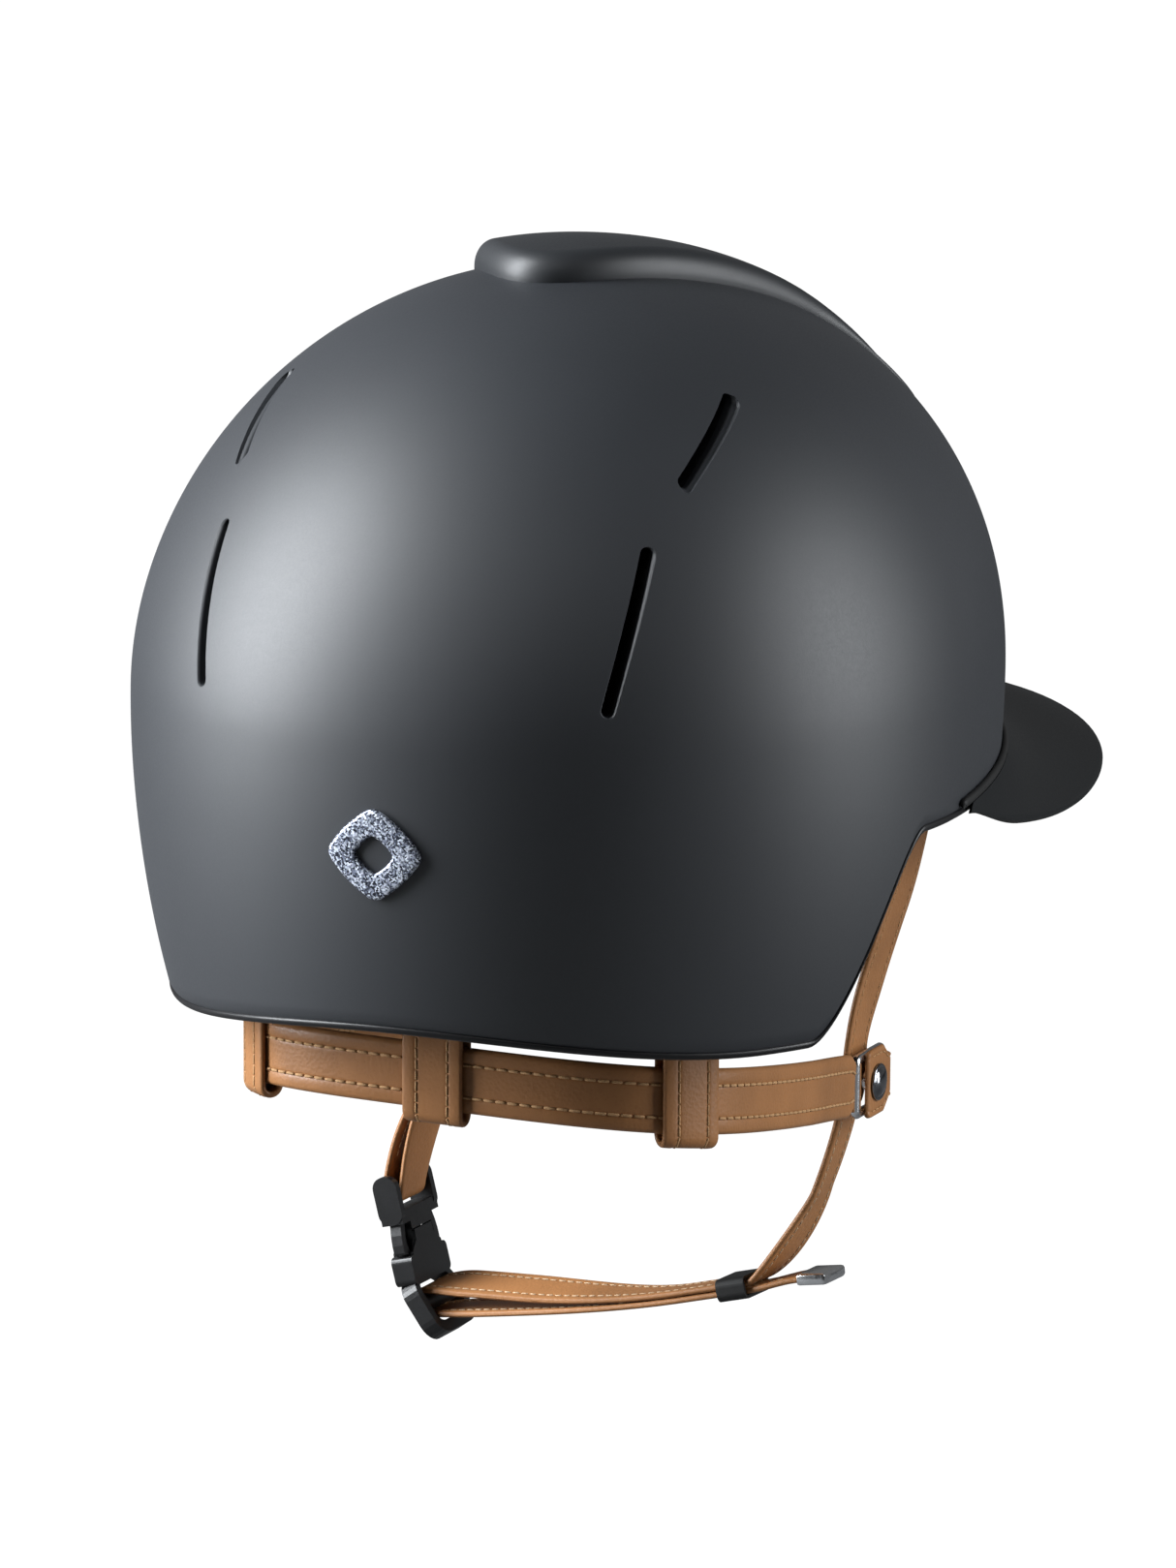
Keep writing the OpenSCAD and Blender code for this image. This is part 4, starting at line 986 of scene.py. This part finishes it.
# Rows across the strap, near its free end and below the ring
xs = np.arange(-6.2, 6.2, 2.0)
for s_at, face in ((ls[-1] - 3.2, -1), (ls[-1] - 3.2, 1), (16.5, 1), (16.5, -1)):
    p, w, b = (along(s_at, ls, q) for q in (laid, lw, lb))
    run = p + w * xs[:, None] + b * face * (STRAP_T / 2 + 0.08)
    capsules(solid, run, run + w * 1.45, 0.24, PALE_MARK)
stub = np.array([[PIVOT[0] + 6.9, 61.2, -129.4]])
capsules(solid, stub, stub + [2.1, -1.1, -0.3], 0.42, BLACK_MARK)
chin_left = solid.piece("chin_leather_left", [LEATHER, THREAD, BLACK_THREAD, PALE_THREAD],
                        "leather", "chin_upper")
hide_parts("chin_strap_left")

# ---- Chin straps, the long one: ring, slider, buckle loop and back to the metal tip ----
BEND, LEAVE = math.radians(21.6), 72  # the loop's bend, and where the strap leaves its bar
LOOP_UP = math.cos(BEND) * UP + math.sin(BEND) * SIDE
LOOP_SIDE = math.cos(BEND) * SIDE - math.sin(BEND) * UP
LOOP_BAR = BUCKLE_AT - 9 * UP - 6.2 * LOOP_UP
LOOP_R = 2.6 + 0.3 + STRAP_T / 2
SLIDE_DIR = np.array([0, math.cos(TILT), -math.sin(TILT)])
RELEASE_AT = BUCKLE_AT - 127.2 * SLIDE_DIR
SLIDER_AT = np.array(yz(-30.7, -177.9))
LAYER = STRAP_T / 2 + 0.2
in_right, in_left = SLIDER_AT - 5.25 * SLIDE_DIR, SLIDER_AT + 17.25 * SLIDE_DIR
tail_end = np.array(yz(-51, -173))
drop = bez([yz(-CHIN_Y, CHIN_Z), yz(-CHIN_Y, -126), yz(-58, -138),
            RELEASE_AT + [0, -0.2, 0.7]], 40)
fall = bez([RELEASE_AT + [0, 0.3, -0.7], yz(-51.4, -155.5),
            in_right + LAYER * UP - 7 * SLIDE_DIR + [0, 0, 3.4], in_right + LAYER * UP], 50)
over = bez([in_left + LAYER * UP, in_left + LAYER * UP + 30 * SLIDE_DIR,
            LOOP_BAR + LOOP_R * LOOP_UP - 8 * LOOP_SIDE, LOOP_BAR + LOOP_R * LOOP_UP], 70)
turn = around(LOOP_BAR, LOOP_R, LOOP_SIDE, LOOP_UP, degs(90, -LEAVE, 26)[1:-1])
leave = around(LOOP_BAR, LOOP_R, LOOP_SIDE, LOOP_UP, degs(-LEAVE, -LEAVE, 1))[0]
heading = math.sin(math.radians(LEAVE)) * LOOP_SIDE + math.cos(math.radians(LEAVE)) * LOOP_UP
under = bez([leave, leave - 9 * heading, in_left - LAYER * UP + 34 * SLIDE_DIR,
             in_left - LAYER * UP], 70)
tail = bez([in_right - LAYER * UP, in_right - LAYER * UP - 5 * SLIDE_DIR,
            tail_end + [0, 5, -0.7], tail_end], 24)
t70 = np.linspace(0, 1, 70)[:, None]
main = np.concatenate([flat_end(-CHIN_Y, PIVOT[2] + STRAP_W / 2, CHIN_Z),
                       drop[1:], fall, over, turn, under, tail])
dirs = np.concatenate([
    roll_dir(np.zeros(53)), roll_dir(-20 * np.sin(np.pi * t50) - 3.5 * smooth(t50)),
    mix(roll_dir(mix(-3.5, 14, smooth(2 * t70[:, 0]))), ACROSS, smooth((t70 - 0.714) / 0.286)),
    np.tile(ACROSS, (len(turn), 1)),
    mix(ACROSS, roll_dir(mix(6, -3.5, smooth(t70[:, 0]))), smooth(t70 / 0.357)),
    roll_dir(np.full(24, -3.5))])
solid = Solid()
strap(solid, main, dirs, CHIN_W, STRAP_T, rows=(-4.6, 4.6), step=0.8, stitch=(1.6, 1.0, 0.2),
      groove=0.16, puff=0.08, widths=([0, 0.008, 0.02, 0.03, 1], [0.35, 0.7, 0.93, 1, 1]),
      skip=(12, 4), smooth_times=3)
long_strap = solid.piece("chin_leather_long", [LEATHER, PALE_THREAD], "leather")
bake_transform(long_strap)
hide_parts("chin_strap_right", "chin_loop_strap")

# ---- Metal tip: rounded body round the leather's end ----
TIP_HALF, TIP_T = 8.0, 1.7
# Pairs of (place along the tip, size there)
TIP_RINGS = ((-4.2, 0.72), (-4.1, 0.9), (-3.7, 1.0), (3.3, 1.0), (3.9, 0.93), (4.2, 0.7))
box = [np.array(v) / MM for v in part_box("strap_tip")]
tip_mid, tip_dir, tip_across = (box[0] + box[1]) / 2, unit([0, -5, 0.7]), roll_dir(-3.5)
tip_up = np.cross(tip_dir, tip_across)
ang = circle(40)
c, q = np.cos(ang), np.sin(ang)
rings = []
for place, grow in TIP_RINGS:
    x = TIP_HALF * np.sign(c) * np.abs(c) ** 0.2 * (0.9 + 0.1 * grow)
    y = TIP_T * np.sign(q) * np.abs(q) ** 0.3 * grow
    rings.append(tip_mid + tip_dir * place + tip_across * x[:, None] + tip_up * y[:, None])
tip = Solid().skin(rings, poles=True).piece("tip_metal", [CHROME], "chrome", "chin_lower", 40)
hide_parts("strap_tip")

# ---- CAD parts that are shown as they are, with softened edges and real materials ----
# Material and edge radius in millimetres of each
HARD = {
    "buckle_male": (BLACK, 0.6), "buckle_female": (BLACK, 0.7),
    "buckle_prong_front": (BLACK, 0.5), "buckle_prong_rear": (BLACK, 0.5),
    "strap_slider": (RUBBER, 0.7), "side_ring_left": (CHROME, 0), "side_ring_right": (CHROME, 0),
    "snap_stud_left": (CHROME, 0), "snap_stud_right": (CHROME, 0),
    "strap_eyelet_left": (CHROME, 0), "strap_eyelet_right": (CHROME, 0),
    "anchor_screws": (CHROME, 0), "anchor_plates": (BLACK, 0.4), "hook_dots": (HOOK, 0),
}
SHARP = math.radians(32)
for node, (mat, radius) in HARD.items():
    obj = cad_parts[node]
    obj.data.materials.clear()
    obj.data.materials.append(mat)
    obj.data.polygons.foreach_set("use_smooth", np.ones(len(obj.data.polygons), bool))
    obj.data.set_sharp_from_angle(angle=SHARP)
    if radius:
        mod = obj.modifiers.new("soft_edges", "BEVEL")
        mod.width, mod.segments, mod.limit_method = radius * MM, 3, "ANGLE"
        mod.angle_limit = SHARP

# ---- Floor, lights and camera ----
# Lengths here are in metres. The floor lies low enough for the open chin loop to hang clear of it
FLOOR_DROP, FLOOR_R = 0.09, 9
BACKDROP = 1.08  # brightness of the floor and the world to the eye
AIM = np.array([0.01, 0.0, -0.03])
CAMERA_AT, LENS, SHIFT = (-1.6277, -0.7078, 0.2993), 154.1, (0.0189, -0.0661)
VIEW_TURN, VIEW_DROP, VIEW_ROLL = math.radians(23.5), math.radians(9.57), math.radians(0.26)
ahead = np.array([math.cos(VIEW_TURN) * math.cos(VIEW_DROP),
                  math.sin(VIEW_TURN) * math.cos(VIEW_DROP), -math.sin(VIEW_DROP)])
flat_right = np.array([math.sin(VIEW_TURN), -math.cos(VIEW_TURN), 0])
flat_up = np.cross(flat_right, ahead)
cam_right = math.cos(VIEW_ROLL) * flat_right + math.sin(VIEW_ROLL) * flat_up
cam_up = np.cross(cam_right, ahead)


def pale_floor():
    """Near white to the eye, and dim in reflections so that it does not light the underside."""
    m = bpy.data.materials.new("pale_floor")
    m.use_nodes = True
    nt = m.node_tree
    nt.nodes.clear()
    out = nt.nodes.new("ShaderNodeOutputMaterial")
    ray = nt.nodes.new("ShaderNodeLightPath")
    eye, rest = nt.nodes.new("ShaderNodeMixShader"), nt.nodes.new("ShaderNodeMixShader")
    glow = nt.nodes.new("ShaderNodeEmission")
    matt, dim = nt.nodes.new("ShaderNodeBsdfDiffuse"), nt.nodes.new("ShaderNodeBsdfDiffuse")
    glow.inputs["Color"].default_value = (1, 1, 1, 1)
    glow.inputs["Strength"].default_value = BACKDROP
    matt.inputs["Color"].default_value = (0.85, 0.85, 0.85, 1)
    dim.inputs["Color"].default_value = (0.14, 0.14, 0.14, 1)
    eye.inputs["Fac"].default_value = 0.04
    for a, b in ((glow.outputs[0], eye.inputs[1]), (matt.outputs[0], eye.inputs[2]),
                 (ray.outputs["Is Camera Ray"], rest.inputs["Fac"]),
                 (dim.outputs[0], rest.inputs[1]), (eye.outputs[0], rest.inputs[2]),
                 (rest.outputs[0], out.inputs["Surface"])):
        nt.links.new(a, b)
    return m


mesh = bpy.data.meshes.new("floor")
ang = circle(96)
mesh.from_pydata([(FLOOR_R * math.cos(q), FLOOR_R * math.sin(q), 0) for q in ang],
                 [], [list(range(len(ang)))])
mesh.materials.append(pale_floor())
floor = add_object("floor", mesh)
floor.location.z = CAD_BOX[0].z - FLOOR_DROP

# The world is a little brighter ahead of the camera than behind it, and near white to the eye
world = bpy.data.worlds.new("studio")
bpy.context.scene.world = world
world.use_nodes = True
nt = world.node_tree
back = nt.nodes["Background"]
ray, coord = nt.nodes.new("ShaderNodeLightPath"), nt.nodes.new("ShaderNodeTexCoord")
dot = nt.nodes.new("ShaderNodeVectorMath")
dot.operation = "DOT_PRODUCT"
dot.inputs[1].default_value = tuple(ahead)
grade = nt.nodes.new("ShaderNodeMapRange")
grade.inputs["From Min"].default_value, grade.inputs["From Max"].default_value = -0.3, 0.75
grade.inputs["To Min"].default_value, grade.inputs["To Max"].default_value = 0.03, 0.14
grade.interpolation_type = "SMOOTHSTEP"
pick = nt.nodes.new("ShaderNodeMix")
pick.inputs["B"].default_value = BACKDROP
for a, b in ((coord.outputs["Generated"], dot.inputs[0]),
             (dot.outputs["Value"], grade.inputs["Value"]),
             (ray.outputs["Is Camera Ray"], pick.inputs["Factor"]),
             (grade.outputs["Result"], pick.inputs["A"]),
             (pick.outputs["Result"], back.inputs["Strength"])):
    nt.links.new(a, b)
back.inputs["Color"].default_value = (1, 1, 1, 1)


def softbox(name, direction, distance, width, height, watts, colour=(1, 1, 1)):
    """Area light in a direction from the helmet's middle, aimed back at it."""
    light = bpy.data.lights.new(name, "AREA")
    light.shape, light.size, light.size_y = "RECTANGLE", width, height
    light.energy, light.color = watts, colour
    obj = add_object(name, light)
    place = AIM + unit(direction) * distance
    obj.location = place
    obj.rotation_mode = "QUATERNION"
    obj.rotation_quaternion = Vector(AIM - place).to_track_quat("-Z", "Y")


def from_camera(right, up, near):
    """A direction given by shares to the camera's right, up and towards it."""
    return right * cam_right + up * cam_up - near * ahead


softbox("key_left", from_camera(-0.87, 0.38, 0.12), 1.5, 0.7, 1.5, 82, (0.93, 0.965, 1))
softbox("fill_right", from_camera(0.95, 0.22, 0.2), 1.6, 0.6, 1.3, 27, (0.94, 0.97, 1))
softbox("front_fill", from_camera(-0.1, 0.6, 0.8), 2.4, 1.1, 1.1, 3)

camera = bpy.data.cameras.new("camera")
camera.sensor_width, camera.lens = 36.0, LENS
camera.shift_x, camera.shift_y = SHIFT
camera.clip_start, camera.clip_end = 0.05, 60
cam = add_object("camera", camera)
cam.matrix_world = Matrix([(cam_right[k], cam_up[k], -ahead[k], CAMERA_AT[k]) for k in range(3)]
                          + [(0, 0, 0, 1)])
bpy.context.scene.camera = cam
bpy.context.scene.view_settings.view_transform = "Standard"

bpy.context.view_layer.update()
